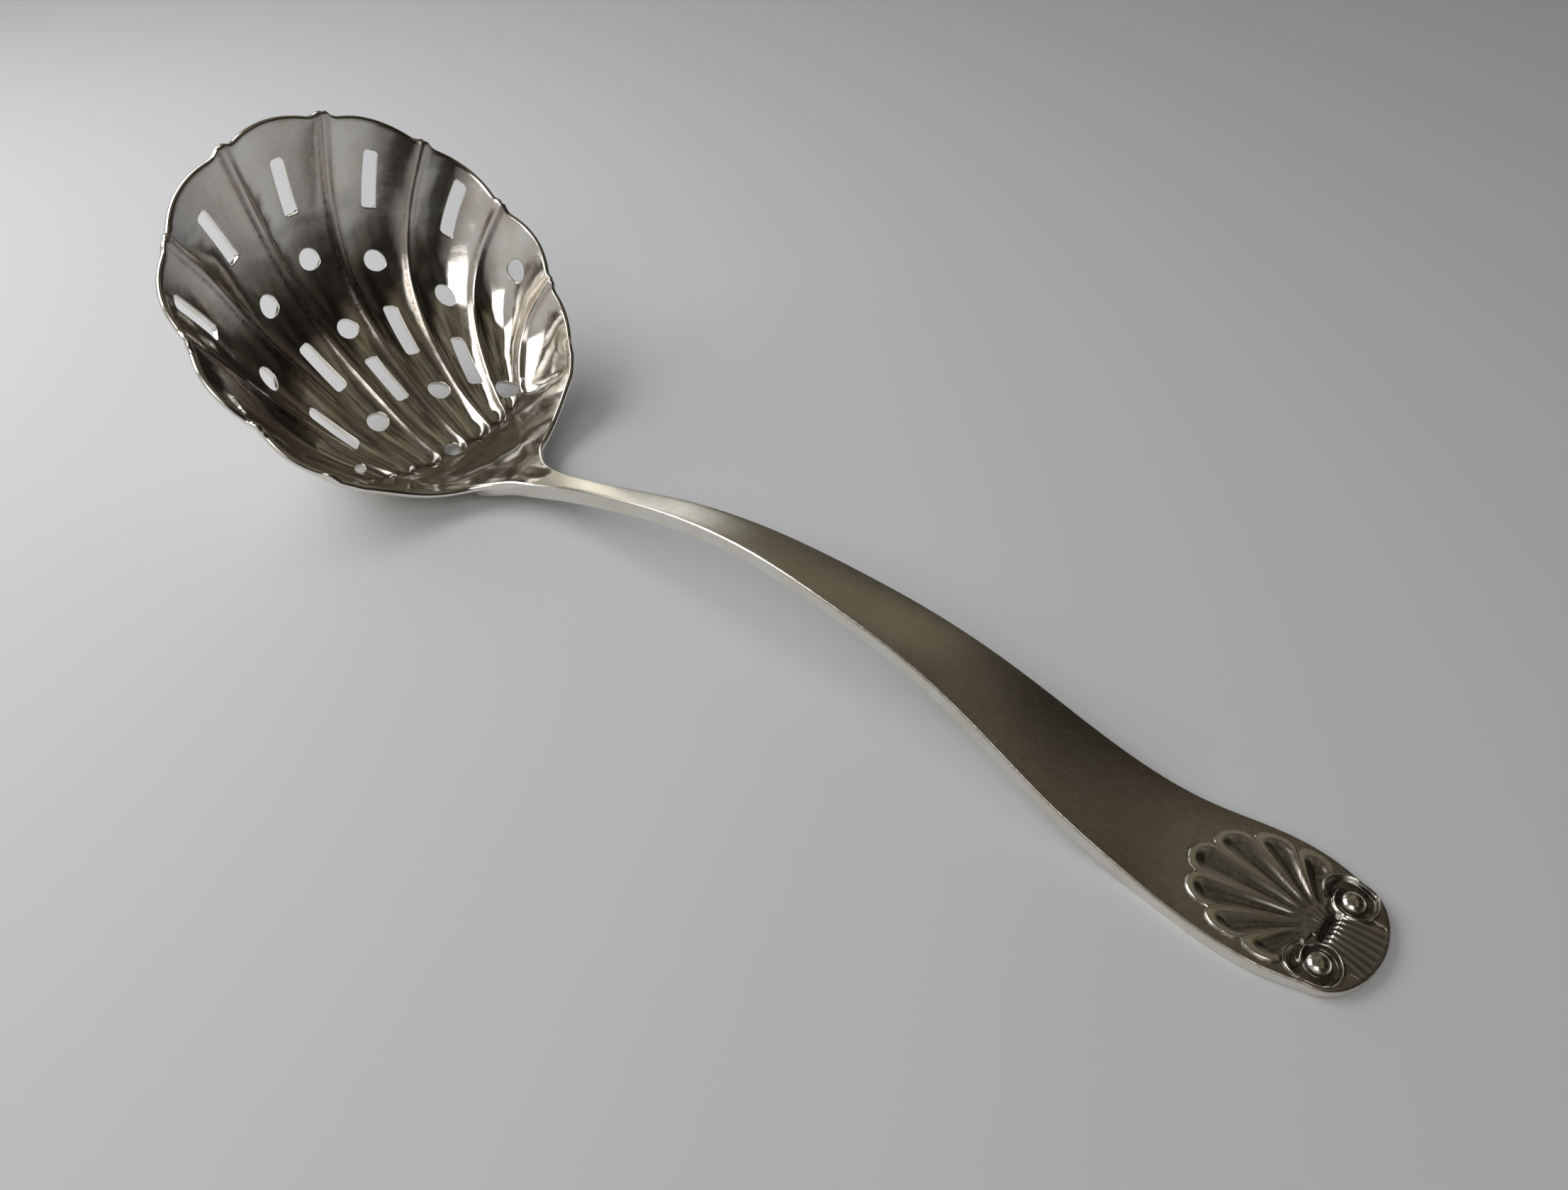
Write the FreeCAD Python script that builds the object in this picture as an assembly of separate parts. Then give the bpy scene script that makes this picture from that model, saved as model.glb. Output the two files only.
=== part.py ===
# Pierced silver sugar sifter ladle: scallop-shell bowl, forged handle and a
# die-struck shell terminal.  Millimetres, +Z up, +X from the handle tip to the
# bowl, the XZ plane is the plane of symmetry.  The origin is the centre of the
# footprint on the table (bottom centre of the bounding box).
import FreeCAD, Part
import math
import os
from FreeCAD import Vector as V

# ----------------------------------------------------------------- dimensions
X_SHIFT = -81.15         # handle tip lies at x = X_SHIFT
Z_SHIFT = 0.0            # lifts the whole model so that its lowest point is z = 0
LEAN = 0.0040            # slope that sets both bowl and handle tip on the table
SHEET = 0.90             # thickness of the pressed bowl sheet
BOWL_TILT = 45.8         # tilt of the mouth plane above the table, degrees
MOUTH_X, MOUTH_Z = 124.0, 5.0   # a point of the mouth plane at the shoulder
FLUTES = 9               # broad concave flutes, with 8 raised ridges between
FLUTE_DEPTH = 1.05       # ridge crest above the flute floor, half way up
RIM_DEPTH_FACTOR = 0.60  # the same at the rim, as a fraction
LOBE_BULGE = 0.75        # how far each rim lobe stands past the ridge tips
NIB = 0.95               # small nib where a ridge meets the rim (central pair)
SIDE_NIB = 0.60          # the same on the other ridges
SLOT_LENGTH, SLOT_WIDTH, SLOT_CORNER = 8.0, 1.95, 0.55
HOLE_DIAMETER = 3.0
LAP_X = 114.0            # the bowl's tongue is let into the stem from here
HEEL_END_X = 128.4       # end of the heel under the bowl
SEAT_DEPTH = 0.55        # recess in the handle end that takes the shell

ANGULAR_STEPS_PER_FLUTE = 10
RADIAL_STEPS = 20
SHOULDER_STEPS = 9

TH = math.radians(BOWL_TILT)
CT, ST = math.cos(TH), math.sin(TH)


# ------------------------------------------------------------- small geometry
def spl(xs, ys):
    """Natural cubic spline through (xs, ys), straight beyond its ends."""
    n = len(xs)
    h = [xs[i + 1] - xs[i] for i in range(n - 1)]
    al = [0.0] * n
    l = [1.0] * n
    mu = [0.0] * n
    z = [0.0] * n
    for i in range(1, n - 1):
        al[i] = 3 * ((ys[i + 1] - ys[i]) / h[i] - (ys[i] - ys[i - 1]) / h[i - 1])
        l[i] = 2 * (xs[i + 1] - xs[i - 1]) - h[i - 1] * mu[i - 1]
        mu[i] = h[i] / l[i]
        z[i] = (al[i] - h[i - 1] * z[i - 1]) / l[i]
    c = [0.0] * n
    b = [0.0] * n
    d = [0.0] * n
    for j in range(n - 2, -1, -1):
        c[j] = z[j] - mu[j] * c[j + 1]
        b[j] = (ys[j + 1] - ys[j]) / h[j] - h[j] * (c[j + 1] + 2 * c[j]) / 3
        d[j] = (c[j + 1] - c[j]) / (3 * h[j])

    def f(x):
        if x <= xs[0]:
            return ys[0] + b[0] * (x - xs[0])
        if x >= xs[-1]:
            H = h[-1]
            s = b[n - 2] + 2 * c[n - 2] * H + 3 * d[n - 2] * H * H
            return ys[-1] + s * (x - xs[-1])
        j = 0
        while j < n - 2 and x > xs[j + 1]:
            j += 1
        t = x - xs[j]
        return ys[j] + b[j] * t + c[j] * t * t + d[j] * t ** 3
    return f


def vsub(a, b):
    return (a[0] - b[0], a[1] - b[1], a[2] - b[2])


def vcross(a, b):
    return (a[1] * b[2] - a[2] * b[1], a[2] * b[0] - a[0] * b[2], a[0] * b[1] - a[1] * b[0])


def vnorm(a):
    l = math.sqrt(a[0] ** 2 + a[1] ** 2 + a[2] ** 2) or 1e-9
    return (a[0] / l, a[1] / l, a[2] / l)


def sstep(x):
    x = max(0.0, min(1.0, x))
    return x * x * (3 - 2 * x)


# -------------------------------------------------------- bowl: ridge crests
# Each ridge crest runs from the base line (t = 0) to the rim (t = 1).  u runs
# up the mouth plane from the shoulder, v is sideways and w is out of the mouth.
TT = [0, .125, .25, .375, .5, .625, .75, .875, 1]
CREST = {
    0.5: [(3.39, 2.2, -8.15), (9.35, 2.49, -10.95), (15.34, 2.75, -12.6), (21.34, 3.05, -13.8),
          (27.34, 3.45, -14.3), (33.3, 4.03, -13.45), (39.22, 4.87, -10.9), (45.07, 6.04, -6.6),
          (50.83, 7.6, -.9)],
    1.5: [(3.85, 6.4, -7.85), (8.98, 7.46, -10.7), (14.21, 8.43, -12.35), (19.47, 9.45, -13.25),
          (24.67, 10.64, -13.5), (29.74, 12.16, -12.7), (34.6, 14.14, -10.4), (39.15, 16.72, -6.7),
          (43.33, 20.04, -2.6)],
    2.5: [(4.42, 9.4, -7.6), (7.92, 11.07, -9.3), (11.52, 12.61, -10.35), (15.16, 14.14, -11.0),
          (18.75, 15.75, -11.15), (22.22, 17.55, -10.7), (25.49, 19.64, -9.2), (28.48, 22.14, -6.5),
          (31.12, 25.15, -2.6)],
    3.5: [(5.42, 12.6, -6.9), (7.09, 13.93, -7.9), (8.84, 15.24, -8.45), (10.6, 16.57, -8.6),
          (12.32, 17.94, -8.4), (13.97, 19.38, -7.8), (15.47, 20.93, -6.6), (16.79, 22.62, -4.6),
          (17.87, 24.48, -1.9)],
    4.5: [(4.5, 18.0, -.4), (4.97, 18.5, -.47), (5.45, 18.95, -.53), (5.93, 19.4, -.6),
          (6.42, 19.85, -.66), (6.9, 20.3, -.72), (7.4, 20.7, -.78), (7.9, 21.1, -.84),
          (8.4, 21.5, -.9)]}
AA = [-4.5, -3.5, -2.5, -1.5, -.5, .5, 1.5, 2.5, 3.5, 4.5]
A_MAX = FLUTES / 2.0
ROWS = []
for a in AA:
    m = CREST[abs(a)]
    sg = 1 if a > 0 else -1
    ROWS.append([spl(TT, [p[0] for p in m]), spl(TT, [p[1] * sg for p in m]), spl(TT, [p[2] for p in m])])
CREST_LENGTH = spl(AA, [7.9, 20.0, 33.5, 44.5, 49.5, 49.5, 44.5, 33.5, 20.0, 7.9])
_cache = {}


def crest_point(a, t):
    """Point of the smooth surface through the ridge crests."""
    key = round(t, 6)
    if key not in _cache:
        _cache[key] = [spl(AA, [r[k](t) for r in ROWS]) for k in range(3)]
    fu, fv, fw = _cache[key]
    u, v, w = fu(a), fv(a), fw(a)
    return (MOUTH_X + u * CT - w * ST, v, MOUTH_Z + u * ST + w * CT)


def crest_normal(a, t):
    e = .01
    a = max(-A_MAX + .02, min(A_MAX - .02, a))
    t = max(.004, min(.99, t))
    pa = vsub(crest_point(a + e, t), crest_point(a - e, t))
    pt = vsub(crest_point(a, t + .004), crest_point(a, t - .004))
    n = vnorm(vcross(pt, pa))
    if n[0] * (-ST) + n[2] * CT < 0:
        n = (-n[0], -n[1], -n[2])
    return n, math.sqrt(pa[0] ** 2 + pa[1] ** 2 + pa[2] ** 2) / (2 * e)


def ridge_offset(a):
    """Distance from the nearest ridge, in flutes (0 on a ridge, 0.5 mid flute)."""
    return abs((a - .5) - round(a - .5))


def relief(f, d):
    e = .22
    s = (math.sqrt(math.sin(math.pi * f) ** 2 + e * e) - e) / (math.sqrt(1 + e * e) - e)
    return .5 * s + .5 * (1 - math.exp(-(d / 1.25) ** 2))


def rim_reach(a):
    f = ridge_offset(a)
    b = abs(a)
    bulge = LOBE_BULGE + .5 * math.exp(-((b - 3) / .6) ** 2) if b < 3.5 else .45 + .8 * math.exp(-((b - 3) / .6) ** 2)
    nib = (NIB if b < 1 else SIDE_NIB) * math.exp(-(f * 12.0 / .85) ** 2) if b < 4 else 0
    return bulge * math.sin(math.pi * f) ** .8 + nib


def flute_point(a, t):
    """Point of the bowl's inner face and the unit normal into the bowl."""
    te = t * (1 + rim_reach(a) / max(CREST_LENGTH(a), 6))
    p = crest_point(a, te)
    n, pitch = crest_normal(a, te)
    f = ridge_offset(a)
    ramp = sstep((t * CREST_LENGTH(a) - 1.1 * (1 - math.sin(math.pi * f))) / 1.3)
    depth = FLUTE_DEPTH * (1 - (1 - RIM_DEPTH_FACTOR) * sstep((t - .6) / .4))
    if abs(a) > 3.5:
        depth *= .75
    if pitch < 6:
        depth *= max(.6, pitch / 6)
    depth *= ramp * relief(f, f * pitch)
    return (p[0] - n[0] * depth, p[1] - n[1] * depth, p[2] - n[2] * depth), n


# Inner edge of the shoulder plate, from the stem to the last flute
EDGE = [(114, 2.2, 5.72), (114.7, 2.35, 5.55), (117.2, 2.95, 5.05), (119.4, 4.3, 4.6), (121.3, 5.9, 4.2),
        (123.0, 8.6, 4.15), (124.3, 11.2, 4.65), (125.3, 13.5, 5.6), (126.3, 15.7, 6.75), (127.4, 18.0, 7.95)]
_es = [0.0]
for i in range(1, len(EDGE)):
    _es.append(_es[-1] + math.dist(EDGE[i], EDGE[i - 1]))
_es = [q / _es[-1] for q in _es]
EX, EY, EZ = [spl(_es, [p[k] for p in EDGE]) for k in range(3)]


def shoulder_point(a, s):
    """Smooth plate between the stem (s = 0) and the base line of the flutes (s = 1)."""
    k = a / A_MAX
    c1, ce = crest_point(a, 0), crest_point(A_MAX, 0)
    b = s ** 1.8
    ex = EX(s) + (ce[0] - EX(1)) * s
    ey = EY(s) + (ce[1] - EY(1)) * s
    ez = EZ(s) + (ce[2] - EZ(1)) * s
    return (ex + b * (c1[0] - ce[0]), ey * k + b * (c1[1] - ce[1] * k), ez + b * (c1[2] - ce[2]))


def shoulder_normal(a, s):
    e = .01
    a = max(-A_MAX + .02, min(A_MAX - .02, a))
    s = max(e, min(1 - e, s))
    n = vnorm(vcross(vsub(shoulder_point(a, s + e), shoulder_point(a, s - e)),
                     vsub(shoulder_point(a + e, s), shoulder_point(a - e, s))))
    return n if n[2] > 0 else (-n[0], -n[1], -n[2])


def place(p, n, off):
    return V(p[0] - n[0] * off + X_SHIFT, p[1] - n[1] * off, p[2] - n[2] * off + Z_SHIFT - LEAN * p[0])


def bowl_grids(top, bottom):
    """Two grids of points, `top` and `bottom` below the inner face."""
    na = FLUTES * ANGULAR_STEPS_PER_FLUTE
    angles = [-A_MAX + 2 * A_MAX * i / na for i in range(na + 1)]
    g1, g2 = [], []
    rows = [("s", j / SHOULDER_STEPS) for j in range(SHOULDER_STEPS)]
    rows += [("f", 0.0), ("f", .02), ("f", .045)]
    rows += [("f", .075 + (.925) * j / RADIAL_STEPS) for j in range(RADIAL_STEPS + 1)]
    for kind, q in rows:
        r1, r2 = [], []
        for a in angles:
            if kind == "s":
                p = shoulder_point(a, q)
                n = shoulder_normal(a, q)
                if q > .75:                       # turn smoothly into the bowl's normal
                    m, _ = crest_normal(a, 0)
                    k = (q - .75) / .25
                    n = vnorm(tuple(n[i] * (1 - k) + m[i] * k for i in range(3)))
            else:
                p, n = flute_point(a, q)
            r1.append(place(p, n, top))
            r2.append(place(p, n, bottom))
        g1.append(r1)
        g2.append(r2)
    return g1, g2


def surface(grid):
    """Clamped cubic B-spline surface controlled by a grid of points."""
    nu, nv = len(grid), len(grid[0])
    du, dv = min(3, nu - 1), min(3, nv - 1)

    def knots(n, d):
        inner_knots = n - d - 1
        return [float(i) for i in range(inner_knots + 2)], [d + 1] + [1] * inner_knots + [d + 1]
    ku, mu = knots(nu, du)
    kv, mv = knots(nv, dv)
    s = Part.BSplineSurface()
    s.buildFromPolesMultsKnots(grid, mu, mv, ku, kv, False, False, du, dv)
    return s


def solid_between(g1, g2):
    """Closed solid between two grids with the same layout."""
    faces = [surface(g1).toShape(), surface(g2).toShape()]
    sides = [(g1[0], g2[0]), (g1[-1], g2[-1]),
             ([r[0] for r in g1], [r[0] for r in g2]), ([r[-1] for r in g1], [r[-1] for r in g2])]
    for c1, c2 in sides:
        faces.append(surface([c1, c2]).toShape())
    shell = Part.Shell(faces)
    if not shell.isClosed():
        shell.sewShape()
    sol = Part.Solid(shell)
    if sol.Volume < 0:
        sol.reverse()
    return sol


def frame_at(a, t):
    """Point on the flute floor, normal into the bowl, and direction along the flute."""
    p, n = flute_point(a, t)
    q0, _ = flute_point(a, t - .02)
    q1, _ = flute_point(a, t + .02)
    d = vnorm(vsub(q1, q0))
    n = vnorm(vcross(vcross(d, n), d))
    return V(p[0] + X_SHIFT, p[1], p[2] + Z_SHIFT - LEAN * p[0]), V(*n), V(*d)


def slot_cutter(a, t):
    p, n, d = frame_at(a, t)
    side = n.cross(d)
    depth = 5.0
    box = Part.makeBox(SLOT_LENGTH, SLOT_WIDTH, depth, V(-SLOT_LENGTH / 2, -SLOT_WIDTH / 2, -depth / 2))
    edges = [e for e in box.Edges if abs(e.Vertexes[0].Z - e.Vertexes[-1].Z) > depth / 2]
    box = box.makeFillet(SLOT_CORNER, edges)
    m = FreeCAD.Matrix(d.x, side.x, n.x, p.x, d.y, side.y, n.y, p.y, d.z, side.z, n.z, p.z, 0, 0, 0, 1)
    return box.transformed(m)


def hole_cutter(a, t, diameter):
    p, n, d = frame_at(a, t)
    return Part.makeCylinder(diameter / 2, 5.0, p - n * 2.5, n)


# Piercings as (flute, position from base to rim); the pattern is symmetric, but for
# the lowest side hole, which was only part opened on the +y side
SLOTS = [(0, .870), (0, .315), (1, .870), (1, .445), (2, .880), (2, .318)]
HOLES = [(0, .700), (0, .495), (0, .030), (1, .665), (1, .222), (2, .590), (3, .860), (3, .175)]
SMALL_HOLES = {(0, .030): 2.3, (3, .175): 1.4}


def make_bowl():
    g1, g2 = bowl_grids(0.0, SHEET)
    sol = solid_between(g1, g2)
    cutters = []
    for a, t in SLOTS:
        for sg in ((1,) if a == 0 else (1, -1)):
            cutters.append(slot_cutter(a * sg, t))
    for a, t in HOLES:
        for sg in ((1,) if a == 0 else (1, -1)):
            cutters.append(hole_cutter(a * sg, t, SMALL_HOLES.get((a * sg, t), HOLE_DIAMETER)))
    return sol.cut(cutters)


# ------------------------------------------------------------------- handle
_top = spl([0, 4, 12, 21, 27, 34, 41, 48, 55, 62, 76, 90, 100, 107, 114, 117],
           [1.15, 1.45, 1.78, 2.02, 3.05, 5.22, 8.05, 10.55, 12.2, 13.14, 13.89, 12.18, 9.65, 7.73, 5.72, 5.05])
THICK = spl([0, 4, 12, 21, 34, 48, 62, 76, 90, 100, 107, 114, 118],
            [1.05, 1.4, 1.78, 2.02, 2.35, 2.35, 2.2, 2.2, 2.3, 2.4, 2.5, 2.45, 2.4])


def TOP_Z(x):
    return _top(x) - LEAN * x


def BOTTOM_Z(x):
    return TOP_Z(x) - THICK(x)


HALF_W = spl([5, 8, 12, 16, 22, 34, 48, 62, 76, 90, 100, 107, 111, 114],
             [7.25, 8.05, 8.33, 8.0, 7.05, 5.9, 4.54, 3.48, 2.54, 1.85, 1.5, 1.5, 1.75, 2.2])
TIP_X, TIP_START = 0.30, 5.0     # the end is rounded between these


def half_width(x):
    if x >= TIP_START:
        return HALF_W(x)
    return HALF_W(TIP_START) * math.sqrt(max(0.0, 1 - ((TIP_START - x) / (TIP_START - TIP_X)) ** 2))


def outline_face(pts, z0):
    wire = Part.makePolygon([V(x + X_SHIFT, y, z0) for x, y in pts + [pts[0]]])
    return Part.Face(wire)


def curve_edge(pts):
    c = Part.BSplineCurve()
    c.interpolate(pts)
    return c.toShape()


def profile_prism(x0, x1, zt, zb, n):
    """Side profile between two curves, extruded across the handle."""
    w = 24.0
    xs = [x0 + (x1 - x0) * i / n for i in range(n + 1)]
    top = [V(x + X_SHIFT, -w, zt(x) + Z_SHIFT) for x in xs]
    bot = [V(x + X_SHIFT, -w, zb(x) + Z_SHIFT) for x in xs]
    e1, e2 = curve_edge(top), curve_edge(bot)
    wire = Part.Wire([e1, Part.makeLine(top[-1], bot[-1]), e2, Part.makeLine(bot[0], top[0])])
    return Part.Face(wire).extrude(V(0, 2 * w, 0))


def plan_prism(x0, x1, hw, n, tip=False):
    """Plan outline between +-hw(x), extruded upward."""
    if tip:
        xs = [TIP_START - (TIP_START - TIP_X) * math.cos(math.pi / 2 * i / 14) for i in range(15)]
        xs += [TIP_START + (x1 - TIP_START) * i / n for i in range(1, n + 1)]
        left = [V(x + X_SHIFT, hw(x), -3) for x in xs]
        right = [V(x + X_SHIFT, -hw(x), -3) for x in xs]
        rim = curve_edge(right[::-1] + left[1:])
        wire = Part.Wire([rim, Part.makeLine(left[-1], right[-1])])
    else:
        xs = [x0 + (x1 - x0) * i / n for i in range(n + 1)]
        left = [V(x + X_SHIFT, hw(x), -3) for x in xs]
        right = [V(x + X_SHIFT, -hw(x), -3) for x in xs]
        parts = [curve_edge(left)]
        if left[-1].distanceToPoint(right[-1]) > 1e-6:
            parts.append(Part.makeLine(left[-1], right[-1]))
        parts.append(curve_edge(right[::-1]))
        parts.append(Part.makeLine(right[0], left[0]))
        wire = Part.Wire(parts)
    return Part.Face(wire).extrude(V(0, 0, 40))


# heel: the stem runs on under the shoulder plate and ends in a rounded drop
HEEL_W = spl([114, 115.5, 117.2, 119.4, 121.3, 123, 125, 126.6, 127.7, 128.2, 128.4],
             [2.2, 2.5, 2.95, 4.15, 5.0, 5.2, 4.7, 3.8, 2.6, 1.5, 0.55])
HEEL_BOTTOM = spl([114, 117.2, 119.4, 121.3, 123, 125, 127, 128.4],
                  [3.27, 2.65, 2.25, 1.85, 1.48, 1.08, .76, .62])


def make_handle(bowl):
    stem = profile_prism(-1, LAP_X, TOP_Z, BOTTOM_Z, 48)
    stem = stem.common(plan_prism(0, LAP_X, half_width, 44, tip=True))
    # the heel's upper side stays inside the bowl sheet, and the bowl then cuts it to fit
    g1, g2 = bowl_grids(SHEET * .5, SHEET + 3.2)
    rows = SHOULDER_STEPS + 4
    core = solid_between(g1[:rows], g2[:rows])
    heel = profile_prism(LAP_X, HEEL_END_X, lambda x: 12.0, lambda x: HEEL_BOTTOM(x) - LEAN * x, 14)
    heel = heel.common(plan_prism(LAP_X, HEEL_END_X, HEEL_W, 24)).common(core)
    body = stem.fuse(heel).cut(bowl)
    # the handle end rests on a small worn flat, ground at table height
    body = body.cut(Part.makeBox(60, 40, 5, V(X_SHIFT - 5, -20, -5)))
    sols = sorted(body.Solids, key=lambda s: -s.Volume)
    return sols[0]


# ----------------------------------------------------------- shell terminal
SHELL_ROOT = 6.3          # the shell's flutes meet here, from the handle tip
CUSP_ANGLE = [10.1, 30.0, 51.7, 80.0]
CUSP_R = spl([0, 10.1, 30.0, 51.7, 80.0, 100.0], [12.3, 12.1, 10.66, 8.4, 6.3, 5.6])
LOBE_R = [1.5, 1.35, 1.25, 1.15]
VOLUTE = (4.88, 4.30)
VOLUTE_R, BALL_R = 2.35, 1.3
SEAT_Z = spl([0, 4, 12, 21], [TOP_Z(0) - SEAT_DEPTH, TOP_Z(4) - SEAT_DEPTH, TOP_Z(12) - SEAT_DEPTH,
                              TOP_Z(21) - SEAT_DEPTH])


def lobe_at(deg):
    """Lobe number and position inside it (0..1) for an angle from the axis."""
    b = abs(deg)
    if b <= CUSP_ANGLE[0]:
        return 0, (deg + CUSP_ANGLE[0]) / (2 * CUSP_ANGLE[0])
    for i in range(1, len(CUSP_ANGLE)):
        if b <= CUSP_ANGLE[i]:
            return i, (b - CUSP_ANGLE[i - 1]) / (CUSP_ANGLE[i] - CUSP_ANGLE[i - 1])
    return len(CUSP_ANGLE), 0.0


def shell_radius(deg):
    k, f = lobe_at(deg)
    if k >= len(CUSP_ANGLE):
        return 0.0
    return CUSP_R(abs(deg)) + LOBE_R[k] * math.sin(math.pi * f) ** .6


def shell_height(x, y):
    """Relief of the terminal above its seat."""
    dx, dy = x - SHELL_ROOT, abs(y)
    rho = math.hypot(dx, dy)
    deg = math.degrees(math.atan2(dy, dx))
    h = 0.25
    k, f = lobe_at(deg)
    if k < len(CUSP_ANGLE):
        R = shell_radius(deg)
        edge = math.exp(-((R - .35 - rho) / .38) ** 2)
        groove = math.sin(math.pi * f)
        rib = 1 - groove ** .7
        h = .30 + .42 * rib * sstep(rho / 4) + .38 * edge + .10 * (1 - groove)
        h += .12 * math.exp(-((rho - R * .55) / (R * .3)) ** 2)
    vx, vy = x - VOLUTE[0], dy - VOLUTE[1]
    r = math.hypot(vx, vy)
    if r < VOLUTE_R + .25:
        ring = .85 * math.exp(-((r - (VOLUTE_R - .35)) / .38) ** 2)
        ball = .95 * math.sqrt(max(0.0, 1 - (r / BALL_R) ** 2)) if r < BALL_R else 0
        h = max(.15, ring, .25 + ball if ball else 0)
    if dy < 2.1 and x < SHELL_ROOT + .3:
        h = max(h, .62 + .13 * math.cos(2 * math.pi * dy / .72)) if r > VOLUTE_R else h
    return h


def shell_outline():
    """Plan outline: the lobed fan, the two scrolls and the ribbed band."""
    cx = 8.0
    pts = []
    n = 180
    for i in range(n):
        ph = 2 * math.pi * i / n
        c, s = math.cos(ph), math.sin(ph)
        best = 0.0
        for k in range(1, 141):
            r = k * .1
            x, y = cx + r * c, r * s
            dx, dy = x - SHELL_ROOT, abs(y)
            deg = math.degrees(math.atan2(dy, dx))
            inside = math.hypot(dx, dy) <= shell_radius(deg)
            inside = inside or math.hypot(x - VOLUTE[0], dy - VOLUTE[1]) <= VOLUTE_R
            inside = inside or (dy < 3.2 and 0.5 < x < 8.0)
            if inside:
                best = r
        best = min(best, 14)
        x, y = cx + best * c, best * s
        lim = half_width(x + .3) - .3
        if abs(y) > lim:
            y = math.copysign(lim, y)
        pts.append((x, y))
    return pts


def make_shell():
    face = outline_face(shell_outline(), -2.0)
    prism = face.extrude(V(0, 0, 12))
    nx, ny = 72, 60
    top, bot = [], []
    for i in range(nx + 1):
        x = -.5 + 22.0 * i / nx
        top.append([V(x + X_SHIFT, -9 + 18.0 * j / ny, SEAT_Z(x) + Z_SHIFT + shell_height(x, -9 + 18.0 * j / ny))
                    for j in range(ny + 1)])
    seat = profile_prism(-.5, 21.5, lambda x: 6.0, SEAT_Z, 16)
    under_top = solid_between(top, [[V(p.x, p.y, -4.0) for p in r] for r in top])
    above_seat = prism.common(seat)
    return above_seat.common(under_top), above_seat


def main():
    os.makedirs("parts", exist_ok=True)
    bowl = make_bowl()
    handle = make_handle(bowl)
    shell, pocket = make_shell()
    handle = handle.cut(pocket)
    nodes = {"bowl": bowl, "handle": handle, "shell_ornament": shell}
    for name, shape in nodes.items():
        sols = sorted(shape.Solids, key=lambda s: -s.Volume)
        out = sols[0] if len(sols) == 1 or sols[1].Volume < .5 else shape
        bb = out.BoundBox
        print(name, "valid", out.isValid(), "solids", len(sols), "volume %.1f" % out.Volume,
              "x %.2f..%.2f y %.2f..%.2f z %.2f..%.2f" % (bb.XMin, bb.XMax, bb.YMin, bb.YMax, bb.ZMin, bb.ZMax))
        out.exportStep("parts/%s.step" % name)


main()
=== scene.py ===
# Looks of the pierced silver sugar sifter ladle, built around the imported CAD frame.
import math

import bmesh
import bpy
import numpy as np
from mathutils import Matrix, Vector
from mathutils.kdtree import KDTree


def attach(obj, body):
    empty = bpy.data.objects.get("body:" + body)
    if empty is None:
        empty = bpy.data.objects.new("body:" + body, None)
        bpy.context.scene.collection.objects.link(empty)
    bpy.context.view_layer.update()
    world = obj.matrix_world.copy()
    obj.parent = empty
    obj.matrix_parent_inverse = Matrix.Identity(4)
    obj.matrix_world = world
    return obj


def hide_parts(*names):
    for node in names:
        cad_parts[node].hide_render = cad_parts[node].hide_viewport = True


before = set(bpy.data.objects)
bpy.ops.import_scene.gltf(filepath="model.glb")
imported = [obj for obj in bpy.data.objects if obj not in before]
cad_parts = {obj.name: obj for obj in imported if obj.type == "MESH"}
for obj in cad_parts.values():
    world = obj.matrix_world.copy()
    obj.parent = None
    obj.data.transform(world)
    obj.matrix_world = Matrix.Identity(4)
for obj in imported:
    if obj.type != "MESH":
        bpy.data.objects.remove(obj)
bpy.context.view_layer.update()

MM = 0.001
# ------------------------------------------------------------------ dimensions
# the same numbers as the CAD source, in millimetres, x from the handle tip
X_SHIFT = -81.15
LEAN = 0.0040
SHEET = 0.90
BOWL_TILT = 45.8
MOUTH_X, MOUTH_Z = 124.0, 5.0
FLUTES = 9
A_MAX = FLUTES / 2.0
FLUTE_DEPTH = 1.05
RIM_DEPTH_FACTOR = 0.92
LOBE_BULGE = 0.84
NIB, SIDE_NIB = 1.02, 0.80
SLOT_LENGTH, SLOT_WIDTH, SLOT_CORNER = 8.0, 1.95, 0.55
HOLE_DIAMETER = 3.0
LAP_X = 114.0
EDGE_R = 0.36            # how far the rounded edge reaches past the flat of the sheet
BEVEL = 0.13             # softened edge of each piercing
CT, ST = math.cos(math.radians(BOWL_TILT)), math.sin(math.radians(BOWL_TILT))

SLOTS = [(0, .870), (0, .315), (1, .870), (1, .445), (2, .880), (2, .318)]
HOLES = [(0, .700), (0, .495), (0, .034), (1, .665), (1, .222), (2, .590), (3, .860), (3, .175)]
SMALL_HOLES = {(0, .034): 2.3, (3, .175): 1.4}

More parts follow.
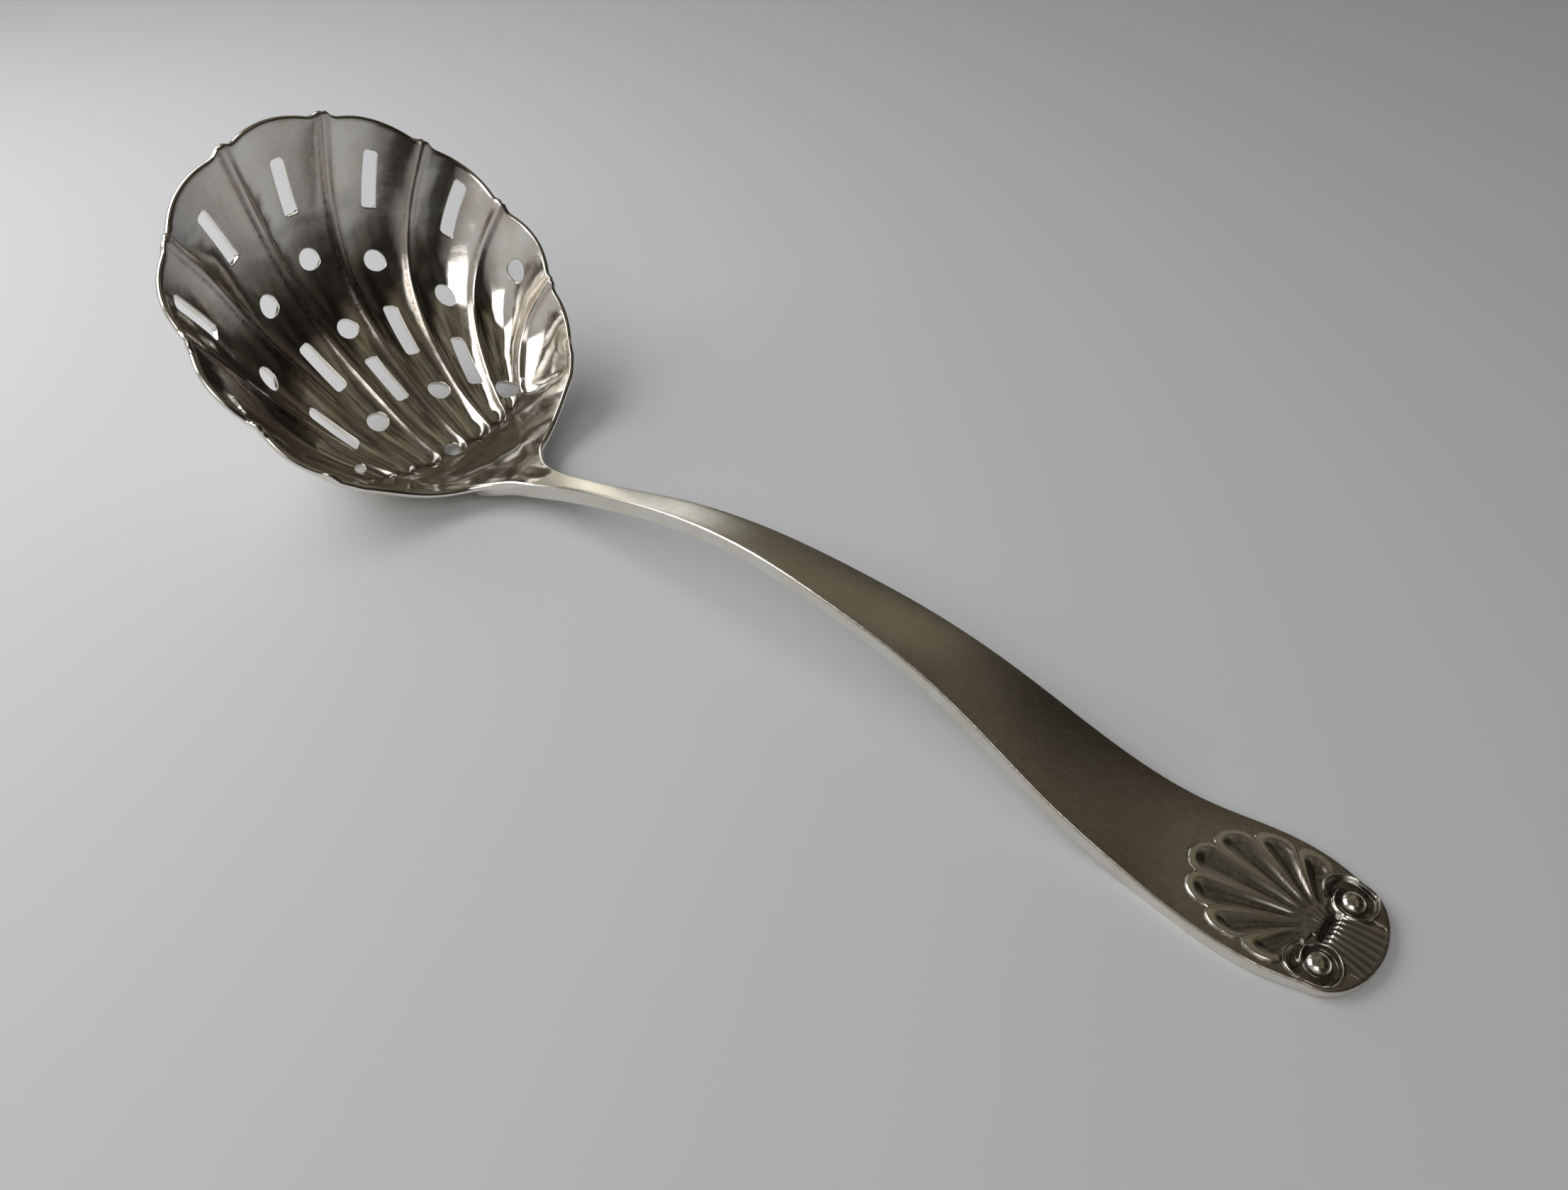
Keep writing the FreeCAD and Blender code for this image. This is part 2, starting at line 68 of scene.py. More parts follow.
TT = np.array([0, .125, .25, .375, .5, .625, .75, .875, 1.0])
CREST = {
    0.5: [(3.39, 2.2, -8.15), (9.35, 2.49, -10.95), (15.34, 2.75, -12.6), (21.34, 3.05, -13.8),
          (27.34, 3.45, -14.3), (33.3, 4.03, -13.45), (39.22, 4.87, -10.9), (45.07, 6.04, -6.6),
          (50.83, 7.6, -.9)],
    1.5: [(3.85, 6.4, -7.85), (8.98, 7.46, -10.7), (14.21, 8.43, -12.35), (19.47, 9.45, -13.25),
          (24.67, 10.64, -13.5), (29.74, 12.16, -12.7), (34.6, 14.14, -10.4), (39.15, 16.72, -6.7),
          (43.33, 20.04, -2.6)],
    2.5: [(4.42, 9.4, -7.6), (7.92, 11.07, -9.3), (11.52, 12.61, -10.35), (15.16, 14.14, -11.0),
          (18.75, 15.75, -11.15), (22.22, 17.55, -10.7), (25.49, 19.64, -9.2), (28.48, 22.14, -6.5),
          (31.12, 25.15, -2.6)],
    3.5: [(5.42, 12.6, -6.9), (7.09, 13.93, -7.9), (8.84, 15.24, -8.45), (10.6, 16.57, -8.6),
          (12.32, 17.94, -8.4), (13.97, 19.38, -7.8), (15.47, 20.93, -6.6), (16.79, 22.62, -4.6),
          (17.87, 24.48, -1.9)],
    4.5: [(4.5, 18.0, -.4), (4.97, 18.5, -.47), (5.45, 18.95, -.53), (5.93, 19.4, -.6),
          (6.42, 19.85, -.66), (6.9, 20.3, -.72), (7.4, 20.7, -.78), (7.9, 21.1, -.84),
          (8.4, 21.5, -.9)]}
AA = np.array([-4.5, -3.5, -2.5, -1.5, -.5, .5, 1.5, 2.5, 3.5, 4.5])
EDGE = np.array([(114, 2.2, 5.72), (114.7, 2.35, 5.55), (117.2, 2.95, 5.05), (119.4, 4.3, 4.6), (121.3, 5.9, 4.2),
                 (123.0, 8.6, 4.15), (124.3, 11.2, 4.65), (125.3, 13.5, 5.6), (126.3, 15.7, 6.75), (127.4, 18.0, 7.95)])


# --------------------------------------------------------------- spline tools
class Nat:
    """Natural cubic spline on fixed knots; weights(q) gives each knot's share."""

    def __init__(self, xs):
        self.x = np.asarray(xs, float)
        n = len(self.x)
        h = np.diff(self.x)
        A = np.eye(n)
        R = np.zeros((n, n))
        for i in range(1, n - 1):
            A[i, i - 1], A[i, i], A[i, i + 1] = h[i - 1] / 6, (h[i - 1] + h[i]) / 3, h[i] / 6
            R[i, i - 1] += 1 / h[i - 1]
            R[i, i] -= 1 / h[i - 1] + 1 / h[i]
            R[i, i + 1] += 1 / h[i]
        self.S = np.linalg.solve(A, R)
        self.h = h

    def weights(self, q):
        q = np.asarray(q, float).ravel()
        x, h, S, n = self.x, self.h, self.S, len(self.x)
        qc = np.clip(q, x[0], x[-1])
        j = np.clip(np.searchsorted(x, qc, side="right") - 1, 0, n - 2)
        a = (x[j + 1] - qc) / h[j]
        b = 1 - a
        W = ((a ** 3 - a) * h[j] ** 2 / 6)[:, None] * S[j] + ((b ** 3 - b) * h[j] ** 2 / 6)[:, None] * S[j + 1]
        r = np.arange(len(q))
        W[r, j] += a
        W[r, j + 1] += b
        lo = np.zeros(n)
        lo[0], lo[1] = -1 / h[0], 1 / h[0]
        lo = lo - h[0] / 6 * (2 * S[0] + S[1])
        hi = np.zeros(n)
        hi[-2], hi[-1] = -1 / h[-1], 1 / h[-1]
        hi = hi + h[-1] / 6 * (S[-2] + 2 * S[-1])
        d0, d1 = np.minimum(q - x[0], 0), np.maximum(q - x[-1], 0)
        return W + d0[:, None] * lo + d1[:, None] * hi

    def __call__(self, ys, q):
        q = np.asarray(q, float)
        return (self.weights(q) @ np.asarray(ys, float)).reshape(q.shape + np.shape(ys)[1:])


def table(xs, ys):
    s = Nat(xs)
    return lambda q: s(ys, q)


def unit(v):
    return v / np.maximum(np.linalg.norm(v, axis=-1, keepdims=True), 1e-12)


def sstep(x):
    x = np.clip(x, 0, 1)
    return x * x * (3 - 2 * x)


# ------------------------------------------------------------------ bowl face
def inset(line, r):
    """A plane polyline moved in by r, to leave room for a rounded edge."""
    t = unit(np.gradient(line, axis=0))
    return line - r * np.stack([-t[:, 1], t[:, 0]], 1)


C = {k: np.array(v, float) for k, v in CREST.items()}
tail = C[4.5].copy()
tail[:, :2] = inset(tail[:, :2], EDGE_R)
C[4.5] = tail
GRID = np.array([[[p[0], p[1] * (1 if a > 0 else -1), p[2]] for p in C[abs(a)]] for a in AA])
EDGE_IN = EDGE.copy()
EDGE_IN[:, :2] = inset(EDGE[:, :2], EDGE_R)
EDGE_IN[0, 0] = EDGE[0, 0]
SA, STT = Nat(AA), Nat(TT)
crest_length = table(AA, [7.9, 20.0, 33.5, 44.5, 49.5, 49.5, 44.5, 33.5, 20.0, 7.9])
_es = np.r_[0, np.cumsum(np.linalg.norm(np.diff(EDGE_IN, axis=0), axis=1))]
_es /= _es[-1]
edge_at = table(_es, EDGE_IN)


def crest_point(a, t):
    a, t = np.broadcast_arrays(a, t)
    p = np.einsum("ni,nj,ijk->nk", SA.weights(a), STT.weights(t), GRID).reshape(a.shape + (3,))
    u, v, w = p[..., 0], p[..., 1], p[..., 2]
    return np.stack([MOUTH_X + u * CT - w * ST, v, MOUTH_Z + u * ST + w * CT], -1)


def crest_normal(a, t):
    e = .01
    a = np.clip(a, -A_MAX + .02, A_MAX - .02)
    t = np.clip(t, .004, .99)
    pa = crest_point(a + e, t) - crest_point(a - e, t)
    pt = crest_point(a, t + .004) - crest_point(a, t - .004)
    n = unit(np.cross(pt, pa))
    flip = (n[..., 0] * -ST + n[..., 2] * CT) < 0
    n[flip] *= -1
    return n, np.linalg.norm(pa, axis=-1) / (2 * e)


def ridge_offset(a):
    return np.abs((a - .5) - np.round(a - .5))


def relief(f, d):
    e = .26
    s = (np.sqrt(np.sin(np.pi * f) ** 2 + e * e) - e) / (math.sqrt(1 + e * e) - e)
    bead = 1 - np.exp(-(d / .58) ** 2)
    return .70 * s + .25 * bead + .05 * (1 - np.exp(-(d / 1.4) ** 2))


def rim_reach(a):
    f, b = ridge_offset(a), np.abs(a)
    w = np.exp(-((b - 3) / .6) ** 2)
    bulge = np.where(b < 3.5, LOBE_BULGE + .5 * w, .45 + .8 * w)
    nib = np.where(b < 1, NIB, SIDE_NIB) * np.exp(-(f * 12.0 / .85) ** 2) * (b < 4)
    return bulge * np.sin(np.pi * f) ** .62 + nib - EDGE_R


def flute_face(a, t):
    L = np.maximum(crest_length(a), 6)
    te = t * (1 + rim_reach(a) / L)
    p = crest_point(a, te)
    n, pitch = crest_normal(a, te)
    f = ridge_offset(a)
    up = t * crest_length(a) - 1.0 * (1 - np.sin(np.pi * f))
    ramp = sstep(up / .95) * (1 + .30 * np.exp(-((up - 1.2) / .9) ** 2))
    depth = FLUTE_DEPTH * (.80 + (RIM_DEPTH_FACTOR - .80) * sstep((t - .6) / .4))
    depth = np.where(np.abs(a) > 3.5, depth * .75, depth)
    depth = depth * np.where(pitch < 6, np.maximum(.6, pitch / 6), 1)
    depth = depth * ramp * relief(f, f * pitch)
    # near the rim the deeper flutes are cut in from the inside, so the outside keeps its size
    return p - n * (depth - .34 * sstep((t - .6) / .4))[..., None], n


def plate_point(a, s):
    a, s = np.broadcast_arrays(a, s)
    k = (a / A_MAX)[..., None]
    flat = np.zeros_like(a)
    c1, ce = crest_point(a, flat), crest_point(flat + A_MAX, flat)
    b = (np.clip(s, 0, None) ** 1.8)[..., None]
    e = edge_at(s) + (ce - edge_at(np.ones_like(s))) * s[..., None]
    side = np.concatenate([np.ones_like(k), k, np.ones_like(k)], -1)
    return e * side + b * (c1 - ce * side)


def plate_face(a, s):
    e = .01
    ac, sc = np.clip(a, -A_MAX + .02, A_MAX - .02), np.clip(s, e, 1 - e)
    n = unit(np.cross(plate_point(ac, sc + e) - plate_point(ac, sc - e),
                      plate_point(ac + e, sc) - plate_point(ac - e, sc)))
    n[n[..., 2] < 0] *= -1
    m, _ = crest_normal(a, np.zeros_like(a))
    k = np.clip((s - .75) / .25, 0, 1)[..., None]
    return plate_point(a, s), unit(n * (1 - k) + m * k)


def bowl_face(a, q):
    """Inner face and its normal; q runs -1 (stem) to 0 (base line) to 1 (rim)."""
    a, q = np.broadcast_arrays(np.asarray(a, float), np.asarray(q, float))
    p, n = flute_face(a, np.clip(q, 0, None))
    m = q < 0
    if m.any():
        pp, nn = plate_face(a[m], q[m] + 1)
        p, n = p.copy(), n.copy()
        p[m], n[m] = pp, nn
    return p, n


def settle(p):
    """Working millimetres to the row's metres."""
    p = np.asarray(p, float)
    return np.stack([p[..., 0] + X_SHIFT, p[..., 1], p[..., 2] - LEAN * p[..., 0]], -1) * MM


class Build:
    """Collects rings of points and faces for one mesh."""

    def __init__(self):
        self.v, self.f, self.t, self.n = [], [], [], 0

    def add(self, pts, tag=0.0):
        pts = np.asarray(pts, float).reshape(-1, 3)
        i = np.arange(self.n, self.n + len(pts))
        self.v.append(pts)
        self.t.append(np.broadcast_to(np.ravel(tag), (len(pts),)) if np.size(tag) == 1 else np.ravel(tag))
        self.n += len(pts)
        return i

    def quads(self, a, b, c, d):
        self.f.append(np.stack([np.ravel(a), np.ravel(b), np.ravel(c), np.ravel(d)], 1))

    def rings(self, r0, r1, closed=True):
        if closed:
            self.quads(r0, np.roll(r0, -1), np.roll(r1, -1), r1)
        else:
            self.quads(r0[:-1], r0[1:], r1[1:], r1[:-1])

    def grid(self, idx, mask=None):
        a, b, c, d = idx[:-1, :-1], idx[:-1, 1:], idx[1:, 1:], idx[1:, :-1]
        if mask is not None:
            a, b, c, d = a[mask], b[mask], c[mask], d[mask]
        self.quads(a, b, c, d)

    def mesh(self, name, merge=1e-7, sharp=60):
        v = np.concatenate(self.v)
        t = np.concatenate(self.t)
        f = np.concatenate(self.f)
        used = np.zeros(len(v), bool)
        used[f.ravel()] = True
        new = np.cumsum(used) - 1
        v, f, t = v[used], new[f], t[used]
        me = bpy.data.meshes.new(name)
        me.from_pydata(v.tolist(), [], [list(dict.fromkeys(q)) for q in f.tolist()])
        me.attributes.new("tarnish_and_shade", "FLOAT", "POINT").data.foreach_set("value", t.astype(np.float32))
        me.update()
        ob = bpy.data.objects.new(name, me)
        bpy.context.scene.collection.objects.link(ob)
        bm = bmesh.new()
        bm.from_mesh(me)
        bmesh.ops.remove_doubles(bm, verts=bm.verts, dist=merge)
        bmesh.ops.dissolve_degenerate(bm, edges=bm.edges, dist=merge)
        holes = [e for e in bm.edges if e.is_boundary]
        if holes:
            bmesh.ops.holes_fill(bm, edges=holes, sides=0)
        bmesh.ops.recalc_face_normals(bm, faces=bm.faces)
        left = sum(1 for e in bm.edges if not e.is_manifold)
        bm.to_mesh(me)
        bm.free()
        me.polygons.foreach_set("use_smooth", [True] * len(me.polygons))
        me.set_sharp_from_angle(angle=math.radians(sharp))
        me.update()
        print("piece", name, "faces", len(me.polygons), "open edges", left)
        return ob


# ------------------------------------------------------------------ bowl mesh
def shape_loop(kind, counts, grow, diameter):
    """Outline of a slot or hole in mm (along, across), as four sides of counts[i] steps."""
    pts = []
    if kind == "hole":
        r = diameter / 2 + grow
        for side in range(4):
            for k in range(counts[side]):
                th = math.radians(-135 + 90 * side + 90 * k / counts[side])
                pts.append((r * math.cos(th), r * math.sin(th)))
        return np.array(pts)
    hx, hy, rc = SLOT_LENGTH / 2 + grow, SLOT_WIDTH / 2 + grow, SLOT_CORNER + grow
    cs = [(-hx + rc, -hy + rc), (hx - rc, -hy + rc), (hx - rc, hy - rc), (-hx + rc, hy - rc)]
    # sides: 0 = bottom edge (along +x), 1 = far end, 2 = top edge, 3 = near end
    for side in range(4):
        c0, c1 = np.array(cs[side]), np.array(cs[(side + 1) % 4])
        t0 = -135 + 90 * side
        arc = math.pi / 4 * rc
        straight = float(np.linalg.norm(c1 - c0))
        wa = arc * 3.0
        total = 2 * wa + straight
        for k in range(counts[side]):
            s = total * k / counts[side]
            if s < wa:
                th = math.radians(t0 + 45 * s / wa)
                p = c0 + rc * np.array([math.cos(th), math.sin(th)])
            elif s < wa + straight:
                th = math.radians(t0 + 45)
                p = c0 + rc * np.array([math.cos(th), math.sin(th)]) + (c1 - c0) * (s - wa) / straight
            else:
                th = math.radians(t0 + 45 + 45 * (s - wa - straight) / wa)
                p = c1 + rc * np.array([math.cos(th), math.sin(th)])
            pts.append(tuple(p))
    return np.array(pts)


def make_bowl():
    per = 32
    a = np.linspace(-A_MAX, A_MAX, FLUTES * per + 1)
    q = np.concatenate([np.linspace(-1, 0, 33)[:-1], np.linspace(0, .12, 15)[:-1],
                        np.linspace(.12, 1, 121)])
    Q, Agr = np.meshgrid(q, a, indexing="ij")
    P, N = bowl_face(Agr, Q)
    B = Build()

    # painted shade, partly tarnish: darkens the bowl's base colour beside each ridge, in the crease at the base line,
    # along each ridge crest and over the upper flutes
    def tarnish_and_shade(ag, qq):
        f0 = ridge_offset(ag)
        # painted shade, partly tarnish, in the valley beside each ridge
        ridge_side_tarnish_shade = np.exp(-((f0 * crest_normal(ag, np.clip(qq, 0, 1))[1] - .70) / .35) ** 2) * sstep(qq / .06)
        # painted shade, partly tarnish, in the crease where the flutes rise from the base line
        crease = np.exp(-((np.clip(qq, 0, 1) * crest_length(ag) - 1.0) / .75) ** 2) * (np.abs(ag) < 3.6) * (qq > -.03)
        side = sstep((ag + 2.0) / 1.4)
        streak = np.cos(ag * 2 * np.pi + .9)
        # painted shade: the upper flutes are darkened in patches that vary from flute to flute, standing in for a dark
        # reflection
        upper_flute_shade = (.62 + .20 * streak) * np.exp(-((qq - .60 - .04 * streak) / .17) ** 2) * side
        upper_flute_shade = upper_flute_shade + sstep((qq - .66) / .18) * (.20 + .24 * streak - .12 * (1 - side))
        # a thin darker line is also painted along each ridge crest
        return np.clip(.62 * ridge_side_tarnish_shade + 1.15 * crease + .25 * np.exp(-(f0 / .10) ** 2) * (qq > .1) + upper_flute_shade, 0, 1)

    tag = tarnish_and_shade(Agr, Q)
    top = B.add(P, tag).reshape(Q.shape)
    bot = B.add(P - N * SHEET, .25 * tag).reshape(Q.shape)
    keep = np.ones((len(q) - 1, len(a) - 1), bool)
    marks = [("slot", s * f, t) for f, t in SLOTS for s in ((1,) if f == 0 else (1, -1))]
    marks += [("hole", s * f, t) for f, t in HOLES for s in ((1,) if f == 0 else (1, -1))]
    for kind, a0, t0 in marks:
        dia = SMALL_HOLES.get((a0, t0), HOLE_DIAMETER)
        lx = (SLOT_LENGTH if kind == "slot" else dia) / 2
        ly = (SLOT_WIDTH if kind == "slot" else dia) / 2
        A0, T0 = np.array([float(a0)]), np.array([float(t0)])
        per_t = np.linalg.norm(bowl_face(A0, T0 + .004)[0] - bowl_face(A0, T0 - .004)[0]) / .008

        def per_a(tv):
            tv = np.clip(tv, -.02, 1)
            aa = np.full_like(tv, a0)
            return np.linalg.norm(crest_point(aa + .05, tv) - crest_point(aa - .05, tv), axis=-1) / .1

        pa = float(per_a(T0)[0])
        m = .55
        j0 = np.searchsorted(q, t0 - (lx + m) / per_t) - 1
        j1 = np.searchsorted(q, t0 + (lx + m) / per_t)
        if q[j0] < 0:
            j0 = np.searchsorted(q, 0.0) - 3
        i0 = np.searchsorted(a, a0 - (ly + m) / pa) - 1
        i1 = np.searchsorted(a, a0 + (ly + m) / pa)
        j0, j1, i0, i1 = max(j0, 0), min(j1, len(q) - 1), max(i0, 0), min(i1, len(a) - 1)
        keep[j0:j1, i0:i1] = False
        # boundary of the patch: low a side, far end, high a side, near end
        jj = list(range(j0, j1)) + [j1] * (i1 - i0) + list(range(j1, j0, -1)) + [j0] * (i1 - i0)
        ii = [i0] * (j1 - j0) + list(range(i0, i1)) + [i1] * (j1 - j0) + list(range(i1, i0, -1))
        jj, ii = np.array(jj), np.array(ii)
        counts = [j1 - j0, i1 - i0, j1 - j0, i1 - i0]

        def loop(grow):
            s = shape_loop(kind, counts, grow, dia)
            tv = t0 + s[:, 0] / per_t
            return a0 + s[:, 1] / per_a(tv), tv

        bl_a, bl_t = a[ii], q[jj]
        edge_a, edge_t = loop(BEVEL)
        for sign, outer in ((0, top), (1, bot)):
            prev = outer[jj, ii]
            for lam in (.25, .5, .75, .9, 1.0):
                ra, rt = bl_a * (1 - lam) + edge_a * lam, bl_t * (1 - lam) + edge_t * lam
                pp, nn = bowl_face(ra, rt)
                ring = B.add(pp - nn * (SHEET * sign), tarnish_and_shade(ra, rt) * (1 - .75 * sign))
                B.rings(prev, ring)
                prev = ring
            for k in range(1, 5):
                ph = math.pi / 2 * k / 4
                ra, rt = loop(BEVEL * (1 - math.sin(ph)))
                dep = BEVEL * (1 - math.cos(ph))
                pp, nn = bowl_face(ra, rt)
                ring = B.add(pp - nn * (dep if sign == 0 else SHEET - dep))
                B.rings(prev, ring)
                prev = ring
            if sign == 0:
                wall = prev
            else:
                B.rings(wall, prev)
    B.grid(top, keep)
    B.grid(bot, keep)
    # rounded edge all round; flat under the neck where the handle's heel meets it
    nq, na = len(q), len(a)
    loopj = np.r_[np.arange(0, nq), np.full(na - 2, nq - 1), np.arange(nq - 1, -1, -1)]
    loopi = np.r_[np.full(nq, na - 1), np.arange(na - 2, 0, -1), np.zeros(nq, int)]
    P0, N0 = P[loopj, loopi], N[loopj, loopi]
    tang = np.gradient(P0, axis=0)
    for _ in range(3):
        tang[1:-1] = (tang[:-2] + 2 * tang[1:-1] + tang[2:]) / 4
    out = unit(np.cross(tang, N0))
    ctr = P0.mean(0)
    out[np.einsum("ij,ij->i", out, P0 - ctr) < 0] *= -1
    kk = sstep((q[loopj] + .75) / .35)            # 0 at the neck, 1 along the rim
    prev = top[loopj, loopi]
    steps = 6
    for k in range(1, steps):
        ph = math.pi * k / steps
        h = (1 - math.cos(ph)) / 2                # depth below the top, 0..1
        o = math.sin(ph)
        o = o if h < .5 else o * kk + (1 - kk)
        ring = B.add(P0 + out * (EDGE_R * o if np.ndim(o) == 0 else (EDGE_R * o)[:, None]) - N0 * (SHEET * h))
        B.rings(prev, ring, closed=False)
        prev = ring
    last = bot[loopj, loopi]
    flatend = B.add(P0 + out * (EDGE_R * (1 - kk))[:, None] - N0 * SHEET)
    B.rings(prev, flatend, closed=False)
    B.rings(flatend, last, closed=False)
    B.v = [settle(x) for x in B.v]
    return B.mesh("sifter_bowl", merge=2e-6)


# ---------------------------------------------------------------- handle mesh
top_z = table([0, 4, 12, 21, 27, 34, 41, 48, 55, 62, 76, 90, 100, 107, 114, 117],
              [1.15, 1.45, 1.78, 2.02, 3.05, 5.22, 8.05, 10.55, 12.2, 13.14, 13.89, 12.18, 9.65, 7.73, 5.72, 5.05])
thick = table([0, 4, 12, 21, 34, 48, 62, 76, 90, 100, 107, 114, 118],
              [1.05, 1.4, 1.78, 2.02, 2.35, 2.35, 2.2, 2.2, 2.3, 2.4, 2.5, 2.45, 2.4])
side_w = table([5, 8, 12, 16, 22, 34, 48, 62, 76, 90, 100, 107, 111, 114],
               [7.25, 8.05, 8.33, 8.0, 7.05, 5.9, 4.54, 3.48, 2.54, 1.85, 1.5, 1.5, 1.75, 2.2])
heel_w = table([114, 115.5, 117.2, 119.4, 121.3, 123, 125, 126.6, 127.7, 128.2, 128.4],
               [2.2, 2.5, 2.95, 4.15, 5.0, 5.2, 4.7, 3.8, 2.6, 1.5, 0.55])
heel_z = table([114, 117.2, 119.4, 121.3, 123, 125, 127, 128.4],
               [3.27, 2.65, 2.25, 1.85, 1.48, 1.08, .76, .62])
TIP_X, TIP_START, HEEL_END_X, SEAT_DEPTH = 0.30, 5.0, 128.4, 0.55


def half_width(x):
    x = np.asarray(x, float)
    e = np.sqrt(np.clip(1 - ((TIP_START - x) / (TIP_START - TIP_X)) ** 2, 0, 1)) * float(side_w(TIP_START))
    return np.where(x >= TIP_START, side_w(x), e)


def crown(x, y):
    """The handle's top is slightly domed across."""
    w = np.maximum(half_width(np.minimum(x, LAP_X)), .5)
    c = np.clip(np.abs(y) / w, 0, 1)
    amp = (.05 + .23 * sstep((w - 1.5) / 3.5)) * sstep((x - 12) / 9) * (1 - sstep((x - 104) / 9))
    return amp * (.35 - c ** 2) - .09 * c ** 6 * (1 - sstep((x - 104) / 9))


def sheet_tree():
    qa = np.concatenate([np.linspace(-1, 0, 120), np.linspace(0.01, .12, 16)])
    Q, Ag = np.meshgrid(qa, np.linspace(-A_MAX, A_MAX, 181), indexing="ij")
    p, n = bowl_face(Ag, Q)
    p = (p - n * (SHEET * .6)).reshape(-1, 3)
    tree = KDTree(len(p))
    for i, v in enumerate(p):
        tree.insert((v[0], v[1], 0), i)
    tree.balance()
    return tree, p


def sheet_height(x, y, cache=[]):
    """Height of the middle of the bowl's sheet over the heel."""
    if not cache:
        cache.append(sheet_tree())
    tree, p = cache[0]
    out = np.empty(np.size(x))
    for k, (xx, yy) in enumerate(zip(np.ravel(x), np.ravel(y))):
        near = tree.find_n((xx, yy, 0), 4)
        w = np.array([1 / (d + 1e-3) for _, _, d in near])
        out[k] = float((w * p[[i for _, i, _ in near], 2]).sum() / w.sum())
    return out.reshape(np.shape(x))


# ------------------------------------------------------- shell ornament relief
SHELL_ROOT = 6.3
CUSPS = np.array([10.1, 30.0, 51.7, 80.0])
cusp_r = table([0, 10.1, 30.0, 51.7, 80.0, 100.0], [12.3, 12.1, 10.66, 8.4, 6.3, 5.6])
LOBE_R = np.array([1.5, 1.35, 1.25, 1.15])
VOL = (4.92, 4.33)
spiral_r = table([-40, 0, 65, 144, 196, 237, 285, 319, 345, 369, 392],
                 [1.66, 1.74, 2.10, 2.20, 2.38, 2.62, 2.85, 3.2, 3.12, 2.8, 2.4])


def lobes(deg):
    b = np.abs(deg)
    k = np.searchsorted(CUSPS, b)
    kc = np.clip(k, 0, 3)
    lo = np.where(kc == 0, -CUSPS[0], CUSPS[np.clip(kc - 1, 0, 3)])
    hi = CUSPS[kc]
    f = np.clip((b - lo) / (hi - lo), 0, 1)
    f = np.where(kc == 0, np.clip((deg + CUSPS[0]) / (2 * CUSPS[0]), 0, 1), f)
    return k, f, (hi - lo)


def fan_radius(deg):
    k, f, _ = lobes(deg)
    return np.where(k < 4, cusp_r(np.abs(deg)) + LOBE_R[np.clip(k, 0, 3)] * np.sin(np.pi * f) ** .6, 0)


def fan_lines():
    """The fan's flutes leave the hinge side by side and curve out to their lobes."""
    th = np.arange(0, 112, 2.0)
    st = np.arange(0, 17, .05)
    phi = np.radians(th)[:, None] * (1 - np.exp(-st[None] / 2.1))
    lx = 5.3 + np.concatenate([np.zeros((len(th), 1)), np.cumsum(np.cos(phi) * .05, 1)[:, :-1]], 1)
    ly = 1.45 * th[:, None] / 90 + np.concatenate([np.zeros((len(th), 1)), np.cumsum(np.sin(phi) * .05, 1)[:, :-1]], 1)
    dg = np.degrees(np.arctan2(ly, lx - SHELL_ROOT))
    out = np.hypot(lx - SHELL_ROOT, ly) >= cusp_r(np.clip(dg, 0, 100)) + .6
    out[:, :40] = False
    first = np.argmax(out, 1)
    label = dg[np.arange(len(th)), first]
    label[0] = 0
    label = np.maximum.accumulate(label + 1e-3 * np.arange(len(th)))
    rg, ag = np.linspace(0, 15, 301), np.linspace(0, 180, 361)
    T = np.empty((len(rg), len(ag)))
    ro, al = np.hypot(lx - 5.3, ly), np.degrees(np.arctan2(ly, lx - 5.3))
    for j, r in enumerate(rg):
        col = np.array([np.interp(r, ro[i], al[i]) if r >= ro[i][0] else 90 + th[i] * .5 for i in range(len(th))])
        col = np.maximum.accumulate(col + 1e-6 * np.arange(len(th)))
        T[j] = np.interp(ag, col, label)
    return T


FAN = fan_lines()


def fan_label(x, y):
    r = np.clip(np.hypot(x - 5.3, y) / .05, 0, 299.999)
    a = np.clip(np.degrees(np.arctan2(np.abs(y), x - 5.3)) / .5, 0, 359.999)
    i, j = r.astype(int), a.astype(int)
    u, v = r - i, a - j
    return (FAN[i, j] * (1 - u) * (1 - v) + FAN[i + 1, j] * u * (1 - v)
            + FAN[i, j + 1] * (1 - u) * v + FAN[i + 1, j + 1] * u * v)


def scroll_polar(x, y):
    vx, vy = x - VOL[0], np.abs(y) - VOL[1]
    return np.hypot(vx, vy), np.mod(-np.degrees(np.arctan2(vy, vx)), 360)


def ornament_inside(x, y):
    dx, dy = x - SHELL_ROOT, np.abs(y)
    m = np.hypot(dx, dy) <= fan_radius(np.degrees(np.arctan2(dy, dx)))
    r, tau = scroll_polar(x, y)
    rs = np.where(tau < 30, spiral_r(tau + 360), spiral_r(tau))
    m |= r <= rs + .30
    m |= (dy < 2.6 + .32 * (5 - x)) & (x > .62) & (x < 8)
    return m & (np.abs(y) < half_width(np.maximum(x - .12, TIP_X)) - .28)


